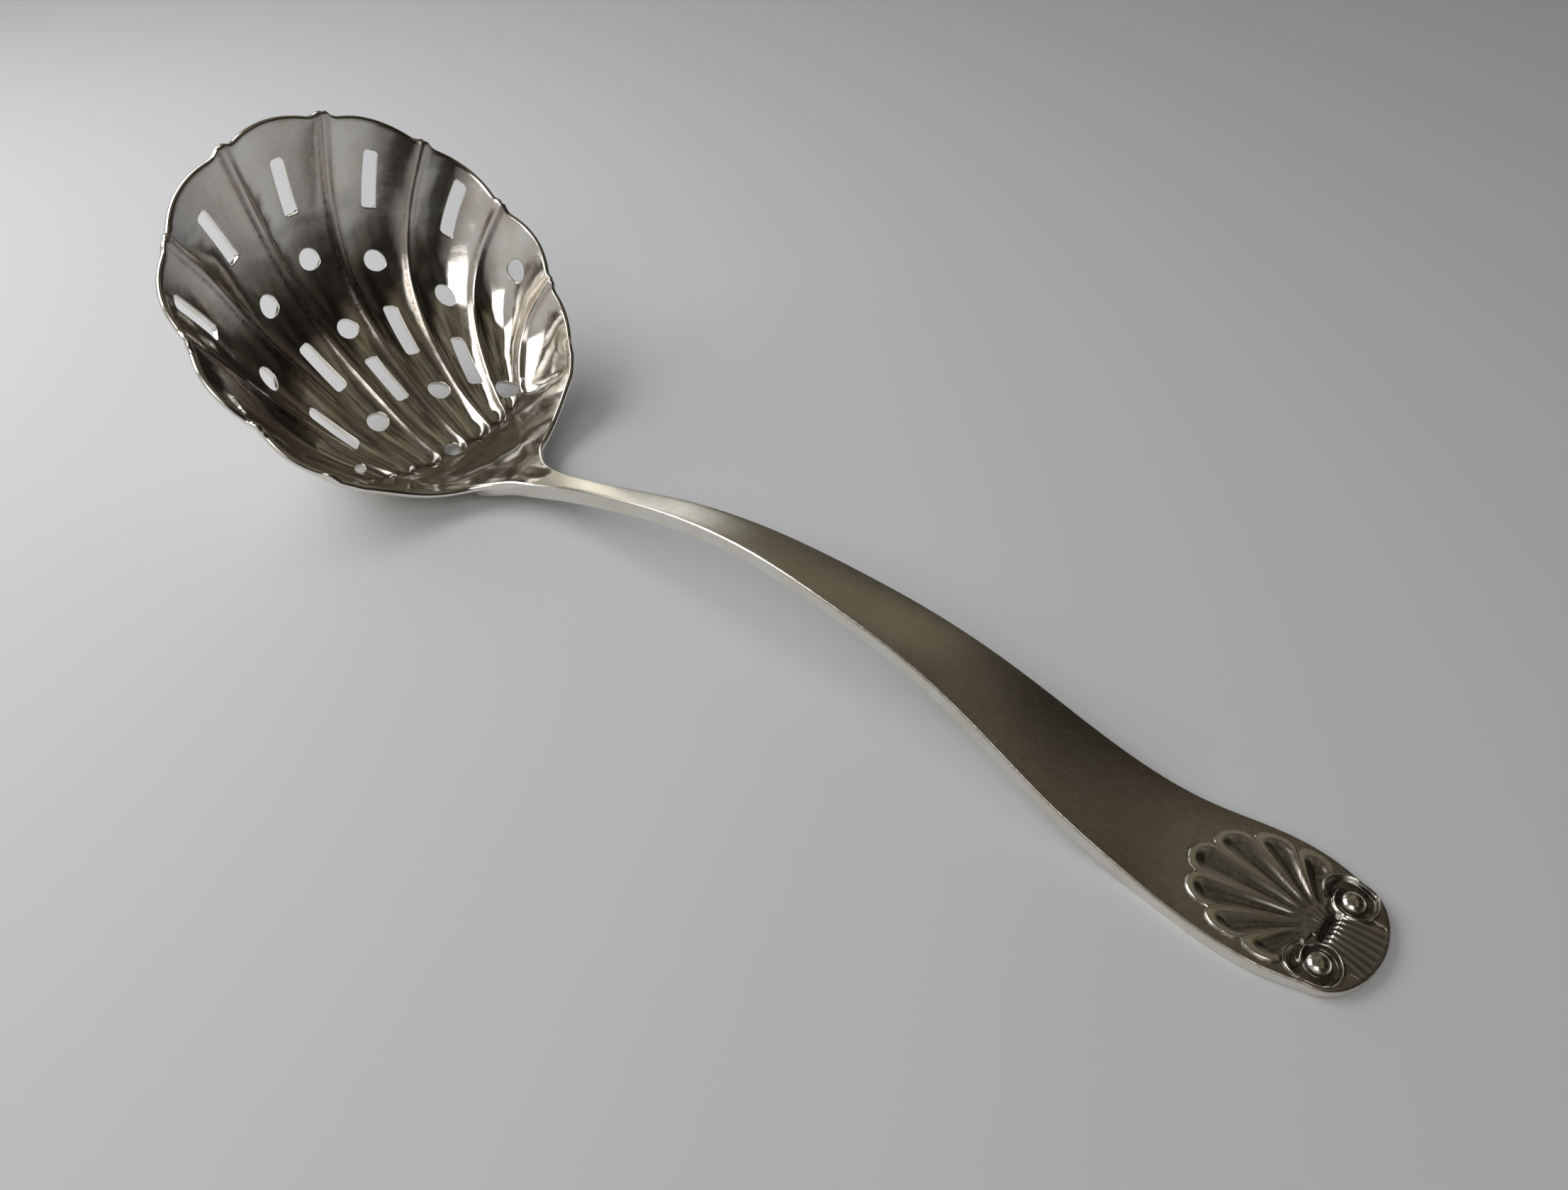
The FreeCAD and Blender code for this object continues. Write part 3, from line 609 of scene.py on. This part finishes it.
def ornament_height(x, y):
    """Height of the struck relief above its seat, and how much tarnish and painted shade lie on it."""
    dx, dy = x - SHELL_ROOT, np.abs(y)
    rho = np.hypot(dx, dy)
    deg = np.degrees(np.arctan2(dy, dx))
    k = np.searchsorted(CUSPS, np.abs(deg))
    lab = fan_label(x, y)
    kl, f, _ = lobes(lab)
    R = fan_radius(deg)
    e = R - rho
    s = np.abs(2 * f - 1)
    rib = sstep((s - .12) / .80)
    lip = sstep((e + .05) / .30) * (1 - sstep((e - .75) / 1.25))
    body = 1 - (1 - rib * (.60 + .40 * sstep((rho - 2) / 5))) * (1 - lip)
    fan = .42 + .36 * body - .10 * (1 - sstep(e / .22))
    fan -= .045 * np.exp(-((1 - s) * R * .12 / .10) ** 2) * sstep((rho - 2.5) / 3)
    near = 1 - sstep((np.hypot(x - 5.3, y) - 1.0) / 3.6)
    fan = fan * (1 - near) + near * (.56 + .095 * sstep((np.hypot(x - 5.3, y) - .7) / 1.4) * np.cos(np.pi * (2 * f + 1)))
    inside_fan = ((k < 4) & (e > -.05)) | ((kl < 4) & (rho < 3.2) & (x > 5.3) & (dy < 1.7))
    h = np.where(inside_fan, fan, .42)
    # painted shade, partly tarnish: darker in the concave lobes, at the fan's outline and on the plain ground outside
    # the fan
    dark = np.where(inside_fan, .18 + (1 - body) * .72 * (1 - .3 * near) + .8 * (1 - sstep(e / .18)), .8)
    # ribbed band over the end
    fanout = y / (1 + .115 * (5 - x))
    wave = np.cos(2 * np.pi * fanout / .66)
    band = .60 + .065 * wave + .06 * np.exp(-((x - 4.95) / .40) ** 2) * np.clip(wave, 0, 1)
    band -= .03 * (1 - sstep((x - .5) / 1.9)) + .03 * dy / 3
    bw = sstep((5.45 - x) / .35) * (1 - sstep((np.abs(fanout) - 2.25) / .35))
    gap = np.exp(-((x - 5.55) / .42) ** 2) * (1 - sstep((dy - 1.5) / .7))
    h = h * (1 - bw) + band * bw
    # painted shade in the grooves of the ribbed band and in the gap between band and fan
    dark = dark * (1 - bw) + bw * np.clip(.42 - .42 * wave, 0, .85)
    h = h - .40 * gap
    dark = np.clip(dark + gap, 0, 1)
    # scrolls
    r, tau = scroll_polar(x, y)
    outer = np.where(tau < 30, spiral_r(tau + 360), spiral_r(tau))
    disc = 1 - sstep((r - outer + .12) / (.36 + .2 * sstep((tau - 240) / 60)))
    sc = np.full_like(h, .10)
    for shift in (-360, 0, 360):
        tt = tau + shift
        ok = sstep((tt + 42) / 40) * (1 - sstep((tt - 362) / 30))
        wide = sstep((tt - 240) / 70)
        sc = np.maximum(sc, .10 + (.82 - .24 * wide) * ok
                        * np.exp(-((r - spiral_r(np.clip(tt, -45, 395))) / (.20 + .20 * wide)) ** 2))
    ball = np.sqrt(np.clip(1 - (r / 1.32) ** 2, 0, 1))
    sc = np.where(r < 1.32, np.maximum(sc, .12 + 1.02 * ball), sc)
    h = h * (1 - disc) + sc * disc
    # painted shade: the scrolls are darker the lower their surface lies, darkest in the ring round each ball
    dark = dark * (1 - disc) + disc * np.clip(1.25 - 1.5 * sc, 0, 1)
    return np.clip(h, .05, 1.2), np.clip(dark, 0, 1)


def make_ornament():
    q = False
    nphi, nr = (480, 80) if q else (960, 150)
    cx = 8.0
    ph = np.linspace(0, 2 * np.pi, nphi, endpoint=False)
    rr = np.arange(.1, 14.2, .02)
    X, Y = cx + np.outer(np.cos(ph), rr), np.outer(np.sin(ph), rr)
    m = ornament_inside(X, Y)
    R = np.array([rr[np.nonzero(row)[0].max()] for row in m])
    far = (np.abs(np.mod(ph + np.pi, 2 * np.pi) - np.pi) > math.radians(93)).astype(float)
    for _ in range(12):
        far = (np.roll(far, 1) + 2 * far + np.roll(far, -1)) / 4
    smooth = R.copy()
    for k in range(60 if not q else 16):
        smooth = (np.roll(smooth, 1) + 2 * smooth + np.roll(smooth, -1)) / 4
        if k == 4:
            R = smooth.copy()
    R = R * (1 - far) + smooth * far
    B = Build()

    def level(x, add):
        return top_z(x) - SEAT_DEPTH + add

    lam = np.linspace(0, 1, nr + 1)[1:]
    lam = np.sin(lam * np.pi / 2) * .35 + lam * .65
    rnd = .12
    Rin = R - rnd
    rows = []
    gx, gy = cx + np.outer(lam, Rin * np.cos(ph)), np.outer(lam, Rin * np.sin(ph))
    gh, gd = ornament_height(gx, gy)
    for k in range(5 if not q else 2):
        # the struck edges are softened by wear
        for g in (gh, gd):
            g[:] = (np.roll(g, 1, 1) + 2 * g + np.roll(g, -1, 1)) / 4
            g[1:-1] = (g[:-2] + 2 * g[1:-1] + g[2:]) / 4
    gh = np.maximum(gh, .567 * (1 - sstep((Rin * (1 - lam[:, None]) - .05) / .30)))
    for x, y, h, d in zip(gx, gy, gh, gd):
        rows.append(B.add(np.stack([x, y, level(x, h)], 1), d))
    # middle cap
    x0, y0 = np.array([cx]), np.array([0.0])
    h0, d0 = ornament_height(x0, y0)
    mid = B.add(np.stack([x0, y0, level(x0, h0)], 1), d0)
    B.quads(np.full(nphi, mid[0]), rows[0], np.roll(rows[0], -1), np.full(nphi, mid[0]))
    for r0, r1 in zip(rows[:-1], rows[1:]):
        B.rings(r0, r1)
    xe, ye = cx + Rin * np.cos(ph), Rin * np.sin(ph)
    he, de = gh[-1], gd[-1]
    prev = rows[-1]
    # painted shade: the rounded edge is darkened at least to 0.8, the foot and the underside fully
    for k in range(1, 5):
        a = math.pi / 2 * k / 4
        x, y = xe + rnd * math.sin(a) * np.cos(ph), ye + rnd * math.sin(a) * np.sin(ph)
        ring = B.add(np.stack([x, y, level(x, he - rnd * (1 - math.cos(a)))], 1), np.maximum(de, .8))
        B.rings(prev, ring)
        prev = ring
    x, y = xe + rnd * np.cos(ph), ye + rnd * np.sin(ph)
    foot = B.add(np.stack([x, y, level(x, 0)], 1), 1.0)
    B.rings(prev, foot)
    prev = foot
    for l in (.8, .6, .4, .2):
        xx, yy = cx + R * l * np.cos(ph), R * l * np.sin(ph)
        ring = B.add(np.stack([xx, yy, level(xx, 0)], 1), 1.0)
        B.rings(prev, ring)
        prev = ring
    low = B.add(np.stack([x0, y0, level(x0, 0)], 1), 1.0)
    B.quads(np.full(nphi, low[0]), prev, np.roll(prev, -1), np.full(nphi, low[0]))
    B.v = [settle(v) for v in B.v]
    B.f = [np.asarray(f) for f in B.f]
    return B, (cx, ph, R)


def make_handle(outline):
    cx, ph, R = outline
    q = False
    nt = 36 if q else 56
    xs = list(TIP_START - (TIP_START - TIP_X) * np.cos(np.pi / 2 * np.arange(nt + 1) / nt))
    xs += list(np.arange(TIP_START + .14, 21.6, .28 if q else .14))
    xs += list(np.linspace(xs[-1], LAP_X, 186)[1:])
    n_stem = len(xs)
    u = np.arange(0, 41) / 40
    hx = LAP_X + (HEEL_END_X - LAP_X) * (.45 * u + .55 * np.sin(u * np.pi / 2))
    xs = np.array(xs + list(hx))
    heel = np.arange(len(xs)) >= n_stem
    w = np.where(heel, heel_w(xs), half_width(xs))
    # plan normals of the outline
    pts = np.stack([xs, w], 1)
    full = np.concatenate([pts[1:2] * [1, -1], pts])
    keep_x = np.concatenate([full, full[-1:] + [1, 0]])
    d = np.gradient(keep_x, axis=0)[1:-1]
    d[n_stem - 1] = pts[n_stem - 1] - pts[n_stem - 2]
    d[n_stem] = pts[n_stem + 1] - pts[n_stem]
    nrm = unit(np.stack([-d[:, 1], d[:, 0]], 1))
    nrm[0] = (-1, 0)
    near_neck = sstep((xs - 100) / 12)
    rt = np.where(heel, .30, .24 + (EDGE_R - .24) * near_neck)
    vt = np.where(heel, .36, .24 + (.45 - .24) * near_neck)
    rb = np.full(len(xs), .42)
    vb = np.minimum(.42 + .3 * sstep((xs - 30) / 20), thick(np.minimum(xs, 114)) * .45)

    def zt(x, y):
        z = top_z(x)
        z = z + crown(x, y)
        z = z.copy()
        if heel.any():
            z[heel] = sheet_height(x[heel], y[heel])
        rr, aa = np.hypot(x - cx, y), np.mod(np.arctan2(y, x - cx), 2 * np.pi)
        lim = np.interp(aa, np.r_[ph, 2 * np.pi], np.r_[R, R[0]])
        dip = 1 - sstep((rr - (lim - .24)) / .14)
        return z - (SEAT_DEPTH - .03) * dip * (x < 22)

    def zb(x):
        return np.where(heel, heel_z(np.clip(x, LAP_X, HEEL_END_X)), top_z(x) - thick(x))

    cols, tags = [], []
    m = 44 if q else 66
    px, py = pts[:, 0] - rt * nrm[:, 0], np.maximum(pts[:, 1] - rt * nrm[:, 1], 0)
    for c in np.linspace(0, 1, m + 1):
        y = py * c
        x = px
        cols.append(np.stack([x, y, zt(x, y)], 1))
        # painted shade, partly tarnish: the top is darkened, most near its edges, in full up to x = 26 mm and fading
        # out by x = 76 mm
        tags.append((.55 + .20 * c ** 3) * (1 - sstep((xs - 26) / 50)))
    ztop = cols[-1][:, 2].copy()
    for k in range(1, 6):
        a = math.pi / 2 * k / 5
        g = rt * (1 - math.sin(a))
        x, y = pts[:, 0] - g * nrm[:, 0], np.maximum(pts[:, 1] - g * nrm[:, 1], 0)
        base = np.where(heel, ztop, top_z(x) + crown(x, y))
        cols.append(np.stack([x, y, base - vt * (1 - math.cos(a))], 1))
        # painted shade: a thin dark line along the middle of the rounded top edge, fading out between x = 55 and 85 mm
        tags.append(np.full(len(xs), math.sin(a * 2) ** 2) * (1 - sstep((xs - 55) / 30)))
    zlow = zb(pts[:, 0])
    hi = cols[-1][:, 2]
    for c in (.2, .5, .8):
        z = hi * (1 - c) + (zlow + vb) * c
        cols.append(np.stack([pts[:, 0], pts[:, 1], z], 1))
        tags.append(np.zeros(len(xs)))
    for k in range(0, 6):
        a = math.pi / 2 * (1 - k / 5)
        g = rb * (1 - math.sin(a))
        x, y = pts[:, 0] - g * nrm[:, 0], np.maximum(pts[:, 1] - g * nrm[:, 1], 0)
        cols.append(np.stack([x, y, zb(x) + vb * (1 - math.cos(a))], 1))
        tags.append(np.zeros(len(xs)))
    xb, yb = cols[-1][:, 0], cols[-1][:, 1]
    for c in np.linspace(1, 0, 13)[1:]:
        y = yb * c
        cols.append(np.stack([xb, y, zb(xb)], 1))
        tags.append(np.zeros(len(xs)))
    left = np.stack(cols, 1)
    lt = np.stack(tags, 1)
    right = left[:, -2:0:-1] * [1, -1, 1]
    ring = np.concatenate([left, right], 1)
    tt = np.concatenate([lt, lt[:, -2:0:-1]], 1)
    ring[..., 2] = np.maximum(ring[..., 2], LEAN * ring[..., 0])
    B = Build()
    idx = B.add(ring, tt).reshape(ring.shape[:2])
    for i in range(len(xs) - 1):
        B.rings(idx[i], idx[i + 1])
    B.v = [settle(v) for v in B.v]
    return B.mesh("sifter_handle", merge=1.5e-6, sharp=58)


# ------------------------------------------------------------------ materials
def node(nt, kind, **kw):
    n = nt.nodes.new(kind)
    for k, v in kw.items():
        if k.startswith("i_"):
            n.inputs[k[2:].replace("_", " ")].default_value = v
        else:
            setattr(n, k, v)
    return n


def ramp(nt, stops):
    n = nt.nodes.new("ShaderNodeValToRGB")
    el = n.color_ramp.elements
    while len(el) < len(stops):
        el.new(.5)
    for e, (p, c) in zip(el, stops):
        e.position = p
        e.color = (c[0], c[1], c[2], 1) if np.ndim(c) else (c, c, c, 1)
    return n


def mix_colour(nt, fac, a, b):
    n = nt.nodes.new("ShaderNodeMix")
    n.data_type = "RGBA"
    nt.links.new(fac, n.inputs[0])
    for sock, v in ((n.inputs[6], a), (n.inputs[7], b)):
        if hasattr(v, "is_output"):
            nt.links.new(v, sock)
        else:
            sock.default_value = (*v, 1)
    return n.outputs[2]


def silver(name, bright, warm, tarnish_shade_tint, rough, scratch_axis=(1, 14, 14), scratch=.03, dark_gain=1.0, specks=0.0,
           cloud=260.0, uneven=0.0):
    """Polished silver: cloudy warm film, tarnish and painted shade in the recesses, hairline scratches, dust."""
    mat = bpy.data.materials.new(name)
    mat.use_nodes = True
    nt = mat.node_tree
    nt.nodes.clear()
    out = node(nt, "ShaderNodeOutputMaterial")
    bs = node(nt, "ShaderNodeBsdfPrincipled")
    bs.inputs["Metallic"].default_value = 1.0
    nt.links.new(bs.outputs[0], out.inputs[0])
    tc = node(nt, "ShaderNodeTexCoord")
    big = node(nt, "ShaderNodeTexNoise", i_Scale=cloud, i_Detail=4.0, i_Roughness=.55)
    nt.links.new(tc.outputs["Object"], big.inputs["Vector"])
    film = ramp(nt, [(.32, 0.0), (.68, 1.0)])
    nt.links.new(big.outputs["Fac"], film.inputs[0])
    base = mix_colour(nt, film.outputs[0], bright, warm)
    # hairlines
    mp = node(nt, "ShaderNodeMapping")
    mp.inputs["Scale"].default_value = scratch_axis
    nt.links.new(tc.outputs["Object"], mp.inputs["Vector"])
    hair = node(nt, "ShaderNodeTexNoise", i_Scale=520.0, i_Detail=6.0, i_Roughness=.7)
    nt.links.new(mp.outputs[0], hair.inputs["Vector"])
    fine = node(nt, "ShaderNodeTexNoise", i_Scale=2600.0, i_Detail=3.0, i_Roughness=.6)
    nt.links.new(tc.outputs["Object"], fine.inputs["Vector"])
    # recess tarnish and painted shade: the mesh attribute browns and darkens the base colour
    at = node(nt, "ShaderNodeAttribute", attribute_name="tarnish_and_shade")
    tarnish_shade_mottle = node(nt, "ShaderNodeTexNoise", i_Scale=1400.0, i_Detail=5.0, i_Roughness=.65)
    nt.links.new(tc.outputs["Object"], tarnish_shade_mottle.inputs["Vector"])
    dr = node(nt, "ShaderNodeMapRange")
    dr.inputs["From Min"].default_value = .3
    dr.inputs["From Max"].default_value = .7
    dr.inputs["To Min"].default_value = .65 * dark_gain
    dr.inputs["To Max"].default_value = 1.0 * dark_gain
    nt.links.new(tarnish_shade_mottle.outputs["Fac"], dr.inputs["Value"])
    mul = node(nt, "ShaderNodeMath", operation="MULTIPLY", use_clamp=True)
    nt.links.new(at.outputs["Fac"], mul.inputs[0])
    nt.links.new(dr.outputs[0], mul.inputs[1])
    deep = node(nt, "ShaderNodeMapRange", interpolation_type="SMOOTHSTEP")
    deep.inputs["From Min"].default_value = .62
    deep.inputs["From Max"].default_value = 1.0
    nt.links.new(mul.outputs[0], deep.inputs["Value"])
    brown = mix_colour(nt, deep.outputs[0], tarnish_shade_tint, (.045, .038, .032))
    base = mix_colour(nt, mul.outputs[0], base, brown)
    if specks:
        vor = node(nt, "ShaderNodeTexVoronoi", i_Scale=420.0)
        nt.links.new(tc.outputs["Object"], vor.inputs["Vector"])
        sp = ramp(nt, [(0.0, 1.0), (specks, 0.0)])
        sp.color_ramp.interpolation = "CONSTANT"
        nt.links.new(vor.outputs["Distance"], sp.inputs[0])
        base = mix_colour(nt, sp.outputs[0], base, (.93, .91, .86))
    nt.links.new(base, bs.inputs["Base Color"])
    rr = node(nt, "ShaderNodeMapRange")
    rr.inputs["From Min"].default_value = .3
    rr.inputs["From Max"].default_value = .7
    rr.inputs["To Min"].default_value = rough[0]
    rr.inputs["To Max"].default_value = rough[1]
    nt.links.new(hair.outputs["Fac"], rr.inputs["Value"])
    add = node(nt, "ShaderNodeMath", operation="MULTIPLY_ADD", use_clamp=True)
    nt.links.new(mul.outputs[0], add.inputs[0])
    add.inputs[1].default_value = .16
    nt.links.new(rr.outputs[0], add.inputs[2])
    nt.links.new(add.outputs[0], bs.inputs["Roughness"])
    bump = node(nt, "ShaderNodeBump", i_Strength=scratch, i_Distance=.0002)
    nt.links.new(hair.outputs["Fac"], bump.inputs["Height"])
    bump2 = node(nt, "ShaderNodeBump", i_Strength=scratch * .7, i_Distance=.00008)
    nt.links.new(fine.outputs["Fac"], bump2.inputs["Height"])
    nt.links.new(bump.outputs[0], bump2.inputs["Normal"])
    if uneven:
        wav = node(nt, "ShaderNodeTexNoise", i_Scale=190.0, i_Detail=1.5, i_Roughness=.4)
        nt.links.new(tc.outputs["Object"], wav.inputs["Vector"])
        bump0 = node(nt, "ShaderNodeBump", i_Strength=1.0, i_Distance=uneven)
        nt.links.new(wav.outputs["Fac"], bump0.inputs["Height"])
        nt.links.new(bump0.outputs[0], bump.inputs["Normal"])
    nt.links.new(bump2.outputs[0], bs.inputs["Normal"])
    return mat


bowl_mat = silver("bowl_silver_polished", (.86, .84, .80), (.76, .71, .63), (.30, .24, .195), (.05, .13),
                  scratch_axis=(3, 3, 3), scratch=.05, dark_gain=1.0, uneven=.00022)
handle_mat = silver("handle_silver_satin", (.86, .84, .78), (.79, .755, .67), (.20, .14, .085), (.13, .25),
                    scratch_axis=(1, 12, 12), scratch=.11, specks=.05)
# the ornament's darker tint is for tarnish and painted shade in its recesses
orn_mat = silver("ornament_silver_tarnish_shade", (.86, .84, .79), (.76, .72, .63), (.12, .105, .085), (.12, .20),
                 scratch_axis=(4, 4, 4), scratch=.05)

# --------------------------------------------------------------------- pieces
bowl = make_bowl()
bowl.data.materials.append(bowl_mat)
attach(bowl, "root")
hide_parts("bowl")

ornB, outline = make_ornament()
orn = ornB.mesh("shell_relief", merge=8e-7, sharp=75)
orn.data.materials.append(orn_mat)
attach(orn, "root")
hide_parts("shell_ornament")

handle = make_handle(outline)
handle.data.materials.append(handle_mat)
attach(handle, "root")
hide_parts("handle")

# ---------------------------------------------------------------------- stage
scene = bpy.context.scene
fl = Build()
gx = np.linspace(-1.6, 1.6, 9)
GX, GY = np.meshgrid(gx, gx, indexing="ij")
gi = fl.add(np.stack([GX, GY, np.zeros_like(GX)], -1)).reshape(GX.shape)
fl.grid(gi)
me = bpy.data.meshes.new("floor")
me.from_pydata(np.concatenate(fl.v).tolist(), [], np.concatenate(fl.f).tolist())
floor = bpy.data.objects.new("floor", me)
scene.collection.objects.link(floor)
if me.polygons[0].normal.z < 0:
    me.flip_normals()
fm = bpy.data.materials.new("pale_floor")
fm.use_nodes = True
nt = fm.node_tree
bs = nt.nodes["Principled BSDF"]
tc = node(nt, "ShaderNodeTexCoord")
ns = node(nt, "ShaderNodeTexNoise", i_Scale=26.0, i_Detail=5.0, i_Roughness=.5)
nt.links.new(tc.outputs["Object"], ns.inputs["Vector"])
cr = ramp(nt, [(.3, (.69, .71, .745)), (.7, (.75, .77, .80))])
nt.links.new(ns.outputs["Fac"], cr.inputs[0])
nt.links.new(cr.outputs[0], bs.inputs["Base Color"])
bs.inputs["Roughness"].default_value = .55

# --------------------------------------------------------------------- lights
world = bpy.data.worlds.new("room")
scene.world = world
world.use_nodes = True
wt = world.node_tree
bg = wt.nodes["Background"]
bg.inputs["Strength"].default_value = 1.0
wc = wt.nodes.new("ShaderNodeTexCoord")
sep = wt.nodes.new("ShaderNodeSeparateXYZ")
wt.links.new(wc.outputs["Generated"], sep.inputs[0])
wn = wt.nodes.new("ShaderNodeTexNoise")
wn.inputs["Scale"].default_value = 2.2
wn.inputs["Detail"].default_value = 2.0
wt.links.new(wc.outputs["Generated"], wn.inputs["Vector"])
jig = wt.nodes.new("ShaderNodeMath")
jig.operation = "MULTIPLY_ADD"
jig.inputs[1].default_value = .22
wt.links.new(wn.outputs["Fac"], jig.inputs[0])
tilt = wt.nodes.new("ShaderNodeMath")
tilt.operation = "MULTIPLY_ADD"
tilt.inputs[1].default_value = .11
wt.links.new(sep.outputs["X"], tilt.inputs[0])
wt.links.new(sep.outputs["Z"], tilt.inputs[2])
wt.links.new(tilt.outputs[0], jig.inputs[2])
wr = wt.nodes.new("ShaderNodeValToRGB")
ceiling = [(.81, (.086, .077, .056)), (.91, (.138, .124, .090)), (1.0, (.090, .081, .060))]
wl = wt.nodes.new("ShaderNodeValToRGB")
for rampnode, low in ((wr, [(.00, (.26, .26, .25)), (.15, (.21, .205, .19)), (.28, (.135, .124, .100)),
                            (.70, (.080, .072, .056))]),
                      (wl, [(.00, (.13, .13, .125)), (.15, (.075, .070, .060)), (.30, (.028, .025, .020)),
                            (.72, (.018, .016, .012))])):
    el = rampnode.color_ramp.elements
    for _ in range(5):
        el.new(.5)
    for e, (p, c) in zip(el, low + ceiling):
        e.position = p
        e.color = (*c, 1)
    wt.links.new(jig.outputs[0], rampnode.inputs[0])
sidex = wt.nodes.new("ShaderNodeMapRange")
sidex.inputs["From Min"].default_value = -.20
sidex.inputs["From Max"].default_value = .30
wt.links.new(sep.outputs["X"], sidex.inputs["Value"])
lr = wt.nodes.new("ShaderNodeMix")
lr.data_type = "RGBA"
wt.links.new(sidex.outputs[0], lr.inputs[0])
wt.links.new(wl.outputs[0], lr.inputs[6])
wt.links.new(wr.outputs[0], lr.inputs[7])
# dark and light furniture round the walls
wmap = wt.nodes.new("ShaderNodeMapping")
wmap.inputs["Scale"].default_value = (1.0, 1.0, .22)
wt.links.new(wc.outputs["Generated"], wmap.inputs["Vector"])
wf = wt.nodes.new("ShaderNodeTexNoise")
wf.inputs["Scale"].default_value = 4.2
wf.inputs["Detail"].default_value = 1.0
wt.links.new(wmap.outputs[0], wf.inputs["Vector"])
wg = wt.nodes.new("ShaderNodeMapRange")
wg.inputs["From Min"].default_value = .38
wg.inputs["From Max"].default_value = .62
wg.inputs["To Min"].default_value = .45
wg.inputs["To Max"].default_value = 1.55
wt.links.new(wf.outputs["Fac"], wg.inputs["Value"])
walls = wt.nodes.new("ShaderNodeVectorMath")
walls.operation = "SCALE"
wt.links.new(lr.outputs[2], walls.inputs[0])
wt.links.new(wg.outputs[0], walls.inputs["Scale"])
win = wt.nodes.new("ShaderNodeMapRange")
win.inputs["From Min"].default_value = .50
win.inputs["From Max"].default_value = .92
wt.links.new(sep.outputs["Y"], win.inputs["Value"])
wmx = wt.nodes.new("ShaderNodeMix")
wmx.data_type = "RGBA"
wt.links.new(win.outputs[0], wmx.inputs[0])
wt.links.new(walls.outputs[0], wmx.inputs[6])
wmx.inputs[7].default_value = (.50, .50, .49, 1)
wt.links.new(wmx.outputs[2], bg.inputs["Color"])
# soft even light for the floor and backdrop; the silver mirrors the room above
pale = wt.nodes.new("ShaderNodeBackground")
pale.inputs["Color"].default_value = (.165, .167, .172, 1)
lp = wt.nodes.new("ShaderNodeLightPath")
ms = wt.nodes.new("ShaderNodeMixShader")
wt.links.new(lp.outputs["Is Glossy Ray"], ms.inputs[0])
wt.links.new(pale.outputs[0], ms.inputs[1])
wt.links.new(bg.outputs[0], ms.inputs[2])
wt.links.new(ms.outputs[0], wt.nodes["World Output"].inputs["Surface"])


def area(name, towards, dist, size, radiance, colour=(1, 1, 1), aim=(.02, 0, .012)):
    d = Vector(towards).normalized()
    li = bpy.data.lights.new(name, "AREA")
    li.shape = "RECTANGLE"
    li.size, li.size_y = size
    li.energy = radiance * math.pi * size[0] * size[1]
    li.color = colour
    ob = bpy.data.objects.new(name, li)
    ob.location = Vector(aim) + d * dist
    ob.rotation_euler = d.to_track_quat("Z", "Y").to_euler()
    scene.collection.objects.link(ob)
    return ob


area("key_window", (-.31, .66, .68), .75, (.40, .34), 2.0, (1.0, .99, .98), aim=(.05, 0, .012))
area("side_window", (.604, .30, .74), .27, (.28, .22), 2.45, (.98, .99, 1.0), aim=(.045, .02, .0))
area("far_wall", (.84, -.40, .36), .60, (.34, .24), .70, (.97, 1.0, .97), aim=(.02, 0, .01))

# --------------------------------------------------------------------- camera
F, W, H = 1800.78, 2212, 1679
yaw, pitch, roll = math.radians(-50.299), math.radians(40.827), math.radians(-.538)
fwd = Vector((math.cos(pitch) * math.cos(yaw), math.cos(pitch) * math.sin(yaw), -math.sin(pitch)))
rgt = Vector((math.sin(yaw), -math.cos(yaw), 0))
up = rgt.cross(fwd)
r2 = math.cos(roll) * rgt + math.sin(roll) * up
u2 = -math.sin(roll) * rgt + math.cos(roll) * up
cam_data = bpy.data.cameras.new("camera")
cam_data.sensor_fit = "HORIZONTAL"
cam_data.sensor_width = 36.0
cam_data.lens = 36.0 * F / W
cam_data.clip_start = .005
cam = bpy.data.objects.new("camera", cam_data)
cam.matrix_world = Matrix(((r2.x, u2.x, -fwd.x, (0.041 + X_SHIFT) * MM), (r2.y, u2.y, -fwd.y, 87.215 * MM),
                           (r2.z, u2.z, -fwd.z, 104.851 * MM), (0, 0, 0, 1)))
scene.collection.objects.link(cam)
scene.camera = cam
scene.view_settings.view_transform = "Standard"
